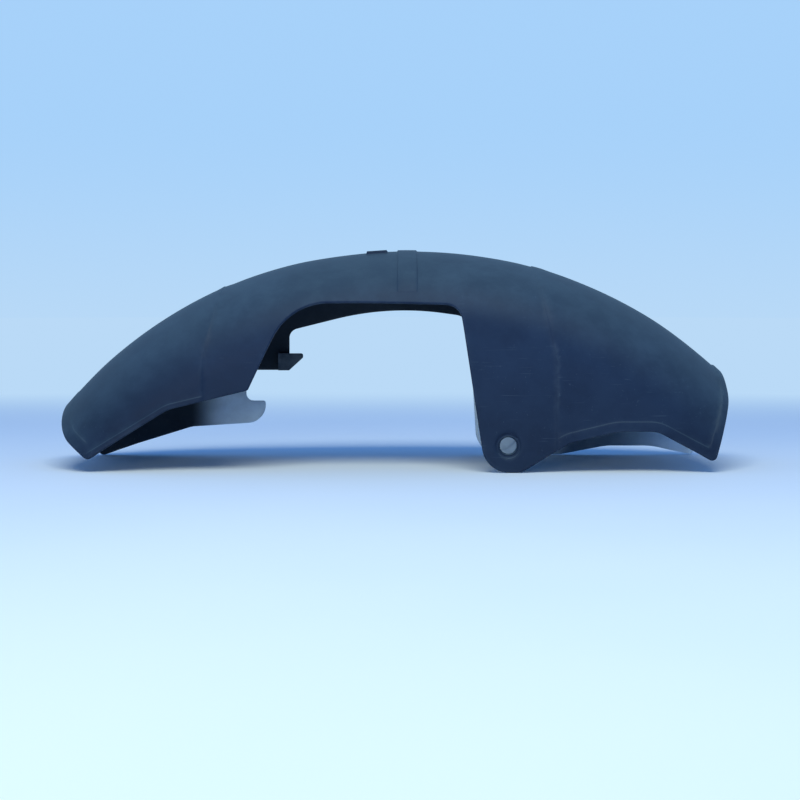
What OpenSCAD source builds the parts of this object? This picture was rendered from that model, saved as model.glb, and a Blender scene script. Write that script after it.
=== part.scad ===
// Motorcycle front mudguard: one moulded shell that arches over the front wheel.
//
// +X runs from the front end to the rear end, +Y to the far side and +Z up. The guard lies
// as it does on a bench: on its two fork lugs and the front end, at Z = 0.
// The shell is a U section revolved about an axis parallel to Y. The raised ends, the strap,
// the lips and the rim bands are the same revolve at a larger offset. Both sides are then
// trimmed to their own outlines, which are drawn in the X, Z plane with a radius at each corner.

/* [Crown line] */
// Height of the crown's highest point above the bench
crown_z = 167.9; // [150:0.1:180]
// Position of the crown's highest point along the guard
crown_x = 11.5; // [-10:0.5:30]
// Radius of the crown line, seen from the side
crown_r = 357.2; // [340:0.2:380]

/* [Section] */
// Width over both skirts
guard_w = 152; // [136:1:170]
// Radius of the section across the crown
arch_r = 95; // [88:1:120]
// Radius between the crown and each skirt
shoulder_r = 50; // [35:1:60]
// Wall thickness of the moulding
wall = 3; // [2:0.1:4]

/* [Ends] */
// Overall length, between the two ends' foremost and rearmost points
guard_l = 514.5; // [504:0.5:524]
// Height at which the front end turns back towards its tips
front_nose_z = 30; // [25:0.5:35]
// Radius of that turn at the front end
front_nose_r = 30; // [10:1:36]
// Height at which the rear end turns back towards its tips
rear_nose_z = 54; // [46:0.5:60]
// Radius of that turn at the rear end
rear_nose_r = 35; // [10:1:44]
// Width of the rolled lip at the front end
front_lip_w = 10; // [5:0.5:14]
// Width of the rolled lip at the rear end
rear_lip_w = 5; // [3:0.5:10]
// Height of both lips above the raised face
lip_h = 0.6; // [0.3:0.1:2]

/* [Near side outline] */
// Lowest point of the near front tip, along the guard
near_tip_x = -231; // [-238:0.5:-224]
// Lowest point of the near front tip, above the bench
near_tip_z = 9.5; // [5:0.5:14]
// Bend in the near front skirt's lower edge, along the guard
near_bend_x = -169; // [-180:1:-158]
// Bend in the near front skirt's lower edge, above the bench
near_bend_z = 47.5; // [40:0.5:54]
// Corner between the near front skirt and the fork cut-out, along the guard
near_corner_x = -109; // [-116:1:-102]
// Corner between the near front skirt and the fork cut-out, above the bench
near_corner_z = 62; // [56:0.5:70]
// Height of the near fork cut-out's top edge
near_cutout_z = 128.5; // [120:0.5:134]
// Rear edge of the near cut-out, where it would meet the top edge
near_cutout_rear_x = 50.5; // [47:0.5:56]
// Height of the arch in the near rear skirt's lower edge
near_arch_z = 31; // [24:0.5:38]
// Lowest point of the near rear end, along the guard
near_rear_x = 243; // [236:0.5:248]
// Lowest point of the near rear end, above the bench
near_rear_z = 7.5; // [3:0.5:12]

/* [Far side outline] */
// Lowest point of the far front tip, along the guard
far_tip_x = -243; // [-248:0.5:-236]
// Bend in the far front skirt's lower edge, along the guard
far_bend_x = -167; // [-178:1:-158]
// Bend in the far front skirt's lower edge, above the bench
far_bend_z = 23.5; // [16:0.5:28]
// Rear end of the tongue below the hose notch, along the guard
far_tongue_x = -106; // [-112:1:-100]
// Lower edge of the tongue, above the bench
far_tongue_z = 27.5; // [24:0.5:32]
// Height of the far fork cut-out's top edge
far_cutout_z = 120; // [112:0.5:124]
// Rear edge of the far cut-out, where it would meet the top edge
far_cutout_rear_x = 62.5; // [56:0.5:63]
// Height of the arch in the far rear skirt's lower edge
far_arch_z = 7.6; // [4:0.5:14]
// Lowest point of the far rear end, along the guard
far_rear_x = 249; // [243:0.5:252]

/* [Fork cut-outs and lugs] */
// Front edge of the near cut-out, where it would meet the top edge
cutout_front_x = -77.5; // [-86:0.5:-70]
// Radius of the near cut-out's front top corner
cutout_front_r = 46; // [30:1:52]
// Radius of both cut-outs' rear top corner
cutout_rear_r = 13; // [8:1:18]
// Fork bolt's position along the guard
lug_x = 87; // [84:0.5:90]
// Radius of the lug round the fork bolt, which is also the bolt's height
lug_r = 20.4; // [18:0.2:23]
// Radius of the fork bolt's bore
lug_bore_r = 6.3; // [4:0.1:8]
// Depth of the shallow seat round the bore
lug_seat_depth = 1; // [0.5:0.1:1.5]
// Radius of the shallow seat round the bore
lug_seat_r = 9.5; // [8.5:0.1:12]
// Thickness of the pad behind the bore, inside the wall
lug_pad_t = 2; // [1:0.1:4]

/* [Hose guide and notch, far side] */
// Rear edge of the web that stands into the far cut-out
guide_x = -86; // [-90:0.5:-80]
// Height of the guide's lower edge above the bench, which is the notch's upper edge
guide_z = 70.5; // [66:0.5:76]
// Height of the web's rear edge
guide_web_h = 33; // [28:0.5:38]
// Front edge of the notch below the guide
notch_x = -122; // [-130:1:-114]
// Height of the notch's lower edge above the bench
notch_z = 45; // [42:0.5:52]
// Radius of the notch's two front corners
notch_r = 6; // [2:0.5:8]
// Height of the guide's foot
guide_foot_h = 14; // [10:0.5:18]
// Length of the guide's foot past the web
guide_foot_l = 11.5; // [8:0.5:16]
// Length of the guide's foot along the web
guide_root_l = 9; // [6:0.5:12]
// How far the foot is set inwards from the skirt
guide_foot_inset = 7; // [4:0.5:10]

/* [Raised ends, strap and rims] */
// Height of the front and rear parts above the middle part's face
raise_h = 1.2; // [0.6:0.1:2]
// Crease between the front and middle parts, at the crown
front_crease_x = -135.5; // [-144:0.5:-128]
// Crease between the middle and rear parts, at the crown
rear_crease_x = 111.5; // [104:0.5:118]
// How far each crease leans towards its end, down the side
crease_lean = 12; // [4:1:18]
// Front edge of the strap across the crown
strap_x = 3.5; // [-2:0.5:8]
// Width of the strap across the crown
strap_w = 15; // [8:0.5:20]
// Height of the strap above the middle part's face
strap_h = 1; // [0.4:0.1:1.5]
// Height above the bench at which the strap ends on each side
strap_end_z = 136; // [130:1:142]
// Length of the low pad on the crown, along the guard
pad_l = 16; // [10:0.5:18]
// Centre of the low pad, along the guard
pad_x = -12.5; // [-18:0.5:-8]
// Width of the low pad, across the guard
pad_w = 32; // [20:1:36]
// Height of the low pad's flat top above the crown line
pad_h = 0.7; // [0.6:0.1:2]
// Width of the rim band along the front skirts' lower edges
front_rim_w = 4; // [2:0.5:8]
// Width of the rim band along the rear skirts' lower edges
rear_rim_w = 7.5; // [4:0.5:10]
// Height of the rim band above the raised face
rim_h = 0.6; // [0.3:0.1:1.2]

/* [Hidden] */

moulding_colour = [0.16, 0.18, 0.21];

// Smoothness of every round face
$fn = 96;
// Largest step along a rounded corner, in degrees
corner_step = 15;
// How far a cutting solid runs past what it cuts
over = 1;
// Margin round the guard for the solids that trim it
margin = 60;
// Depth of the revolved section, from the crown down past the lowest edge
section_depth = crown_z + margin;
// Angle from the top to both ends of the revolve, past the trimmed ends
end_deg = 62;

half_w = guard_w / 2;
// Angle across the section at which the crown's arc becomes the shoulder's
shoulder_deg = asin((half_w - shoulder_r) / (arch_r - shoulder_r));
// Depth of the shoulder's centre below the crown
shoulder_depth = arch_r - (arch_r - shoulder_r) * cos(shoulder_deg);

// Both ends of the guard along X
front_x = -guard_l / 2;
rear_x = guard_l / 2;

// Middle and length of the flat top of the rear skirts' arches
arch_x = 184;
arch_flat = 30;
// Radii at the two ends of that flat top, front and rear on the near side, both on the far side
near_arch_front_r = 40;
near_arch_rear_r = 22;
far_arch_r = 60;
// Where each rear skirt's lower edge leaves its lug: past the bolt, above the bench, radius
near_heel = [46, near_arch_z * 0.72, 20];
far_heel = [52, 0.5, 8];
// Bend in each cut-out's top edge, the edge's drop at its rear end, radius of the bend; the
// far edge is one long arc, so its two sides would meet above it
near_top_x = -20;
near_top_drop = 1.5;
near_top_r = 60;
far_top_x = -3;
far_top_rise = 4.2;
far_top_drop = 5;
far_top_r = 230;
// Radius where a front skirt's lower edge bends, and at the tips of both ends
bend_r = 26;
tip_r = 4;
// Radius of the tongue's rear end and of the near front skirt's corner
tongue_r = 15;
corner_r = 3;
// Radius of the web's top corner, and of its other corners
web_top_r = 8;
web_r = 1;
// Radius of the guide foot's two outer corners
foot_tip_r = guide_foot_h * 0.12;

function unit(v) = v / norm(v);

// The line from a to b, as a point and a direction, moved by d to its left
function moved_line(a, b, d) = let (u = unit(b - a)) [a + d * [-u[1], u[0]], u];

// Point where two such lines cross
function crossing(m, n) =
    let (w = n[0] - m[0], den = m[1][0] * n[1][1] - m[1][1] * n[1][0])
    m[0] + m[1] * (w[0] * n[1][1] - w[1] * n[1][0]) / den;

function xz(corner) = [corner[0], corner[1]];

// Turn at a corner, positive to the left
function turn(a, b, c) =
    let (u = unit(b - a), v = unit(c - b))
    atan2(u[0] * v[1] - u[1] * v[0], u * v);

// The corners [x, z, radius] of a loop that runs clockwise, moved inwards by d
function inset(loop, d) = [
    for (i = [0 : len(loop) - 1])
        let (
            n = len(loop),
            a = xz(loop[(i + n - 1) % n]), b = xz(loop[i]), c = xz(loop[(i + 1) % n]),
            p = crossing(moved_line(a, b, -d), moved_line(b, c, -d)),
            r = loop[i][2] + (turn(a, b, c) < 0 ? -d : d)
        )
        [p[0], p[1], max(r, 0.5)]
];

// One corner as points along an arc that is tangent to both its sides
function rounded(a, b, c, r) =
    let (
        bend = turn(a, b, c),
        side = bend < 0 ? -1 : 1,
        u = unit(b - a),
        start = b - u * r * tan(abs(bend) / 2),
        centre = start + side * r * [-u[1], u[0]],
        from = start - centre,
        steps = max(2, ceil(abs(bend) / corner_step))
    )
    [
        for (k = [0 : steps])
            let (t = bend * k / steps)
            centre + [from[0] * cos(t) - from[1] * sin(t), from[0] * sin(t) + from[1] * cos(t)]
    ];

// A closed loop of [x, z, radius] corners as points
function smooth(loop) = [
    for (i = [0 : len(loop) - 1])
        let (n = len(loop))
        for (p = rounded(
            xz(loop[(i + n - 1) % n]), xz(loop[i]), xz(loop[(i + 1) % n]), loop[i][2]))
            p
];

// What both loops share: the way over the crown, down to where each end turns back
over_crown = [
    [front_x, front_nose_z, front_nose_r],
    [front_x, crown_z + margin, 1],
    [rear_x, crown_z + margin, 1],
    [rear_x, rear_nose_z, rear_nose_r],
];

// Lug outline: its front edge runs down from the cut-out, its rear edge up to the skirt
lug_z = lug_r;
lug_lean = 3.5;
far_lug_step = 0.6;
near_lug_x = lug_x - lug_r + lug_lean;
far_lug_x = near_lug_x - far_lug_step;
lug_rear = [lug_x + lug_r / 2, 0, lug_r * 0.7];

near_loop = concat(over_crown, [
    [near_rear_x, near_rear_z, tip_r],
    [arch_x + arch_flat / 2, near_arch_z, near_arch_rear_r],
    [arch_x - arch_flat / 2, near_arch_z, near_arch_front_r],
    [lug_x + near_heel[0], near_heel[1], near_heel[2]],
    lug_rear,
    [near_lug_x, 0, lug_r],
    [near_cutout_rear_x, near_cutout_z - near_top_drop, cutout_rear_r],
    [near_top_x, near_cutout_z, near_top_r],
    [cutout_front_x, near_cutout_z, cutout_front_r],
    [near_corner_x, near_corner_z, corner_r],
    [near_bend_x, near_bend_z, bend_r],
    [near_tip_x, near_tip_z, tip_r],
]);

far_loop = concat(over_crown, [
    [far_rear_x, 0, tip_r],
    [arch_x + arch_flat, far_arch_z, far_arch_r],
    [arch_x - arch_flat / 4, far_arch_z, far_arch_r],
    [lug_x + far_heel[0], far_heel[1], far_heel[2]],
    lug_rear,
    [far_lug_x, 0, lug_r],
    [far_cutout_rear_x, far_cutout_z - far_top_drop, cutout_rear_r],
    [far_top_x, far_cutout_z + far_top_rise, far_top_r],
    [guide_x, guide_z + guide_web_h, web_top_r],
    [guide_x, guide_z, web_r],
    [notch_x, guide_z, notch_r],
    [notch_x, notch_z, notch_r],
    [far_tongue_x, notch_z, 2 * web_r],
    [far_tongue_x, far_tongue_z, tongue_r],
    [far_bend_x, far_bend_z, bend_r],
    [far_tip_x, 0, tip_r],
]);

// Stands a flat shape drawn in X, Z across the guard, from y0 to y1
module across(y0, y1) {
    translate([0, y1, 0]) rotate([90, 0, 0]) linear_extrude(y1 - y0) children();
}

// The section at an offset from the outer face, filled, with the crown on the crown line
module section(offset_out) {
    arch = arch_r + offset_out;
    hub = crown_r - arch_r;
    reach = arch * 2;
    intersection() {
        translate([hub, 0]) circle(arch);
        polygon([
            [hub, 0],
            [hub + reach * cos(shoulder_deg), reach * sin(shoulder_deg)],
            [hub + reach * 2, 0],
            [hub + reach * cos(shoulder_deg), -reach * sin(shoulder_deg)],
        ]);
    }
    for (side = [-1, 1])
        translate([crown_r - shoulder_depth, side * (half_w - shoulder_r)])
            circle(shoulder_r + offset_out);
    translate([crown_r - section_depth, -half_w - offset_out])
        square([section_depth - shoulder_depth, guard_w + 2 * offset_out]);
    translate([crown_r - section_depth, shoulder_r - half_w])
        square([section_depth - arch_r * (1 - cos(shoulder_deg)), guard_w - 2 * shoulder_r]);
}

// The whole arch before it is trimmed, between two offsets from the outer face
module skin(inner, outer) {
    translate([crown_x, 0, crown_z - crown_r])
        rotate([90, 0, 0])
            rotate([0, 0, 90 - end_deg])
                rotate_extrude(angle = 2 * end_deg)
                    difference() {
                        section(outer);
                        section(inner);
                    }
}

// What lies inside both outlines, each on its own side
module trim() {
    across(-guard_w, 0) polygon(smooth(near_loop));
    across(0, guard_w) polygon(smooth(far_loop));
}

// A box in X, Z that crosses the whole guard
module slab(x0, x1, z0, z1) {
    across(-guard_w, guard_w) translate([x0, z0]) square([x1 - x0, z1 - z0]);
}

// Raised part at one end, past its crease; side is -1 at the front and 1 at the rear
module raised_end(crease_x, side) {
    foot_x = crease_x + side * crease_lean;
    end_x = side * section_depth * 2;
    intersection() {
        skin(-wall / 2, raise_h);
        across(-guard_w, guard_w) polygon([
            [crease_x, crown_z + margin],
            [crease_x, crown_z - raise_h],
            [foot_x, crown_z / 2],
            [foot_x, -margin],
            [end_x, -margin],
            [end_x, crown_z + margin],
        ]);
    }
}

// Flat strap that runs over the crown
module crown_strap() {
    intersection() {
        skin(-wall / 2, strap_h);
        slab(strap_x, strap_x + strap_w, strap_end_z, crown_z + margin);
    }
}

// Low pad in front of the strap, on the centre line, with a flat top and upright sides
module crown_pad() {
    crown_there = crown_z - crown_r + sqrt(pow(crown_r, 2) - pow(pad_x - crown_x, 2));
    sunk = wall * 0.7;
    lean = asin((pad_x - crown_x) / crown_r);
    translate([pad_x, 0, crown_there]) rotate([0, lean, 0])
        translate([-pad_l / 2, -pad_w / 2, -sunk]) cube([pad_l, pad_w, sunk + pad_h]);
}

// Flat band inside a loop, width wide, between two positions along the guard
module flat_band(loop, width, x0, x1) {
    difference() {
        translate([x0, -margin]) square([x1 - x0, crown_z + 2 * margin]);
        polygon(smooth(inset(loop, width)));
    }
}

// The same band on both sides of the guard, between two offsets from the outer face
module band(width, inner, outer, x0, x1) {
    intersection() {
        skin(inner, outer);
        union() {
            across(-guard_w, 0) flat_band(near_loop, width, x0, x1);
            across(0, guard_w) flat_band(far_loop, width, x0, x1);
        }
    }
}

// Rim bands along the lower edges of the front and rear skirts
module rims() {
    outer = raise_h + rim_h;
    band(front_rim_w, -wall / 2, outer, near_tip_x, front_crease_x - crease_lean);
    band(rear_rim_w, -wall / 2, outer, rear_crease_x + crease_lean, near_rear_x);
}

// Rolled lips across both ends, thicker than the wall on both faces
module end_lips() {
    outer = raise_h + lip_h;
    band(front_lip_w, -wall - lip_h, outer, front_x - margin, near_tip_x);
    band(rear_lip_w, -wall - lip_h, outer, near_rear_x, rear_x + margin);
}

// Pad behind the bore of one fork lug; side is -1 on the near side and 1 on the far side
module lug_pad(side) {
    translate([lug_x, side * (half_w - wall - lug_pad_t), lug_z])
        rotate([-90 * side, 0, 0])
            cylinder(h = lug_pad_t + wall / 2, r = lug_r - front_rim_w);
}

// Bore through one fork lug, with the shallow seat round it on the outside
module lug_cut(side) {
    translate([lug_x, 0, lug_z]) rotate([-90 * side, 0, 0]) {
        translate([0, 0, half_w / 2]) cylinder(h = half_w, r = lug_bore_r);
        translate([0, 0, half_w - lug_seat_depth])
            cylinder(h = lug_seat_depth + over, r = lug_seat_r);
    }
}

// Foot of the hose guide, set inwards from the web on a short arm
module guide_foot() {
    y_out = half_w - wall;
    y_in = y_out - guide_foot_inset;
    arm_x = guide_x - guide_root_l;
    across(y_in, y_in + wall) polygon(smooth([
        [arm_x, guide_z, web_r],
        [arm_x, guide_z + guide_foot_h, web_r],
        [guide_x + guide_foot_l, guide_z + guide_foot_h, foot_tip_r],
        [guide_x + guide_foot_l, guide_z + guide_foot_h * 0.75, foot_tip_r],
        [guide_x, guide_z, web_r],
    ]));
    across(y_in, y_out + wall / 2)
        translate([arm_x, guide_z]) square([wall, guide_foot_h]);
}

module mudguard() {
    color(moulding_colour)
    difference() {
        union() {
            intersection() {
                union() {
                    skin(-wall, 0);
                    raised_end(front_crease_x, -1);
                    raised_end(rear_crease_x, 1);
                    crown_strap();
                    crown_pad();
                    rims();
                    end_lips();
                }
                trim();
            }
            for (side = [-1, 1]) lug_pad(side);
            guide_foot();
        }
        for (side = [-1, 1]) lug_cut(side);
    }
}

mudguard();
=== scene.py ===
"""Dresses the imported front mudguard: its moulded shell, the finishes, the bench, lamps and camera.

Lengths are in millimetres until a mesh is made, in the frame of the CAD part: +X towards the
rear end, +Y towards the far side, +Z up, and Z = 0 on the bench.
"""

import logging
import math
from collections.abc import Sequence
from dataclasses import dataclass, field
from enum import Enum
from typing import Any, NamedTuple

import bmesh
import bpy
import numpy as np
from mathutils.geometry import delaunay_2d_cdt
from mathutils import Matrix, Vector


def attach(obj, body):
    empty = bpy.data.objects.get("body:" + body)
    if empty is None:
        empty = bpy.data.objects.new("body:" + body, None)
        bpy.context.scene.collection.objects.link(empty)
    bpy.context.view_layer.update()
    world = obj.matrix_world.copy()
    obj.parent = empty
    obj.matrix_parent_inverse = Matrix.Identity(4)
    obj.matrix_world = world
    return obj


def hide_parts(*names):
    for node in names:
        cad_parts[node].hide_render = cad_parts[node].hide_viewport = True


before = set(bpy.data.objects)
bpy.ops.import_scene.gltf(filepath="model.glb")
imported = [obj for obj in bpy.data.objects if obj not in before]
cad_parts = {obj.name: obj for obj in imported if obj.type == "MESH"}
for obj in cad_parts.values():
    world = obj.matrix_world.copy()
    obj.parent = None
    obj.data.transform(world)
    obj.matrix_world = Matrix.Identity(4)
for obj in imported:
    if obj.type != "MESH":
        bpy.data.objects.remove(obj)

MM = 0.001
SAGITTA = 0.006  # greatest gap between an arc and its chords
MITER_LIMIT = 0.7  # least cosine by which the offset at a corner is lengthened
BATCH = 2000  # how many points are measured at a time
TINY = 1e-12  # keeps a division off zero
NET_TOLERANCE = 1e-7  # distance at which two places of the net become one
log = logging.getLogger("mudguard")

Array = np.ndarray
Span = tuple[float, float]
Triple = tuple[float, float, float]
Colour = Triple
Face = tuple[int, ...]


class Side(Enum):
    """The guard's two sides, by the sign of Y."""

    NEAR = -1
    FAR = 1


class Part(Enum):
    """The guard's three materials, by the index of their slots."""

    OUTSIDE = 0
    INSIDE = 1
    GUIDE = 2


def ramp(value: Array, half_width: float) -> Array:
    """Rise smoothly from 0 to 1 as a value passes zero.

    Args:
        value: Signed distance from the middle of the rise.
        half_width: Distance from the middle at which the rise ends.

    Returns:
        The share, from 0 to 1.
    """
    t = np.clip(np.asarray(value) / (2 * half_width) + 0.5, 0.0, 1.0)
    return t * t * (3 - 2 * t)


def window(value: Array, span: Span, soft: Span) -> Array:
    """Rise smoothly from 0 to 1 at the low end of a span, and fall again at its high end."""
    return ramp(value - span[0], soft[0]) * ramp(span[1] - value, soft[1])


def unit(vector: Array) -> Array:
    """Scale a vector, or each row of vectors, to length 1."""
    return vector / np.linalg.norm(vector, axis=-1, keepdims=True)


# ---- the surface ----


@dataclass(frozen=True)
class Section:
    """The guard's section: an arc over the crown, two round shoulders and two upright skirts.

    Attributes:
        half_width: Half the width over the skirts.
        arch_radius: Radius over the crown.
        shoulder_radius: Radius between the crown and a skirt.
    """

    half_width: float = 76.0
    arch_radius: float = 95.0
    shoulder_radius: float = 50.0

    @property
    def shoulder_angle(self) -> float:
        """Angle across the section at which the crown's arc becomes the shoulder's."""
        return math.asin(
            (self.half_width - self.shoulder_radius) / (self.arch_radius - self.shoulder_radius))

    @property
    def shoulder_depth(self) -> float:
        """Depth of the shoulder's centre below the crown."""
        gap = self.arch_radius - self.shoulder_radius
        return self.arch_radius - gap * math.cos(self.shoulder_angle)

    @property
    def arch_length(self) -> float:
        """Length of the crown's arc, from the centre line to the shoulder."""
        return self.arch_radius * self.shoulder_angle

    @property
    def skirt_start(self) -> float:
        """Length along the section from the centre line to the top of the skirt."""
        return self.arch_length + self.shoulder_radius * (math.pi / 2 - self.shoulder_angle)

    def at(self, along: Array) -> tuple[Array, Array, Array]:
        """Give the section's points and angles.

        Args:
            along: Signed lengths along the section from the centre line.

        Returns:
            Depth below the crown, signed Y, and the angle of the normal from upright.
        """
        a = np.abs(along)
        on_arch = a / self.arch_radius
        on_shoulder = self.shoulder_angle + (a - self.arch_length) / self.shoulder_radius
        angle = np.where(a < self.arch_length, on_arch, np.minimum(on_shoulder, math.pi / 2))
        radius = np.where(a < self.arch_length, self.arch_radius, self.shoulder_radius)
        centre_depth = np.where(a < self.arch_length, self.arch_radius, self.shoulder_depth)
        centre_y = np.where(a < self.arch_length, 0.0, self.half_width - self.shoulder_radius)
        depth = centre_depth - radius * np.cos(angle) + np.maximum(a - self.skirt_start, 0.0)
        y = centre_y + radius * np.sin(angle)
        return depth, np.sign(along) * y, angle

    def along(self, depth: Array, lift: Array | float = 0.0) -> Array:
        """Find where the section, offset outwards by lift, has a depth below the crown.

        Args:
            depth: Depths below the crown line.
            lift: Offset from the outer face.

        Returns:
            Lengths along the section, not a number above the crown.
        """
        with np.errstate(invalid="ignore"):
            arch = np.arccos((self.arch_radius - depth) / (self.arch_radius + lift))
            drop = np.clip((self.shoulder_depth - depth) / (self.shoulder_radius + lift), 0, 1)
        shoulder = np.arccos(drop)
        on_shoulder = self.arch_length + (shoulder - self.shoulder_angle) * self.shoulder_radius
        on_skirt = self.skirt_start + depth - self.shoulder_depth
        lower = np.where(depth > self.shoulder_depth, on_skirt, on_shoulder)
        on_arch = ~(arch > self.shoulder_angle)
        return np.where(on_arch, arch * self.arch_radius, lower)


@dataclass(frozen=True)
class Skin:
    """The guard's outer face: the section turned about an axis parallel to Y.

    A place on it is (u, v): the length round the crown line and the length along the section.

    Attributes:
        section: The section that is turned.
        crown_x: Position of the crown's highest point.
        crown_z: Height of the crown's highest point.
        crown_radius: Radius of the crown line, seen from the side.
    """

    section: Section = Section()
    crown_x: float = 11.5
    crown_z: float = 167.9
    crown_radius: float = 357.2

    def place(self, uv: Array, lift: Array | float = 0.0) -> Array:
        """Turn places on the skin into points.

        Args:
            uv: Places on the skin.
            lift: Offset outwards along the normal.

        Returns:
            Points, one row each.
        """
        depth, y, angle = self.section.at(uv[:, 1])
        turn = uv[:, 0] / self.crown_radius
        reach = self.crown_radius - depth + lift * np.cos(angle)
        return np.column_stack([
            self.crown_x + reach * np.sin(turn),
            y + np.sign(uv[:, 1]) * lift * np.sin(angle),
            self.crown_z - self.crown_radius + reach * np.cos(turn),
        ])

    def locate(self, xz: Array, side: Side, lift: Array | float = 0.0) -> Array:
        """Find the places on one side whose points, lifted, have the given X and Z.

        Args:
            xz: X and Z of each point.
            side: The side on which they lie.
            lift: Offset outwards along the normal.

        Returns:
            Places on the skin, one row each.
        """
        x = xz[:, 0] - self.crown_x
        z = xz[:, 1] - (self.crown_z - self.crown_radius)
        v = self.section.along(self.crown_radius - np.hypot(x, z), lift)
        return np.column_stack([self.crown_radius * np.arctan2(x, z), side.value * v])

    def at_x(self, x: float, v: Array, lift: float = 0.0) -> Array:
        """Find the places at the given lengths along the section that lie at one X.

        Args:
            x: X of all the points.
            v: Signed lengths along the section.
            lift: Offset outwards along the normal.

        Returns:
            Places on the skin, one row each.
        """
        depth, _, angle = self.section.at(v)
        reach = self.crown_radius - depth + lift * np.cos(angle)
        return np.column_stack([
            self.crown_radius * np.arcsin((x - self.crown_x) / reach), v])

    def stretch(self, v: Array) -> Array:
        """Give the real length of one unit of u, which shrinks down the skirts."""
        return 1 - self.section.at(v)[0] / self.crown_radius


# ---- the outlines ----


class Corner(NamedTuple):
    """A corner of an outline in the X, Z plane, with the radius that rounds it."""

    x: float
    z: float
    radius: float


def rounded_path(corners: Sequence[Corner], spacing: float) -> Array:
    """Draw a path through corners, each replaced by an arc that is tangent to both its sides.

    Args:
        corners: The path's corners; the first and the last are its ends.
        spacing: Greatest distance between two points.

    Returns:
        Points from the first arc's start to the last arc's end.
    """
    points: list[Array] = []
    for before, at, after in zip(corners, corners[1:], corners[2:]):
        a, b, c = (np.array(corner[:2]) for corner in (before, at, after))
        u, v = unit(b - a), unit(c - b)
        bend = math.atan2(u[0] * v[1] - u[1] * v[0], float(u @ v))
        start = b - u * at.radius * math.tan(abs(bend) / 2)
        centre = start + math.copysign(at.radius, bend) * np.array([-u[1], u[0]])
        step = min(spacing / at.radius, 2 * math.acos(1 - SAGITTA / at.radius))
        turns = np.linspace(0, bend, max(2, math.ceil(abs(bend) / step)) + 1)
        spoke = start - centre
        arc = centre + np.column_stack([
            spoke[0] * np.cos(turns) - spoke[1] * np.sin(turns),
            spoke[0] * np.sin(turns) + spoke[1] * np.cos(turns),
        ])
        if points:
            legs = max(1, math.ceil(float(np.linalg.norm(arc[0] - points[-1])) / spacing))
            last = points[-1]
            points.extend(last + (arc[0] - last) * k / legs for k in range(1, legs))
        points.extend(arc)
    return np.array(points)


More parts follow.
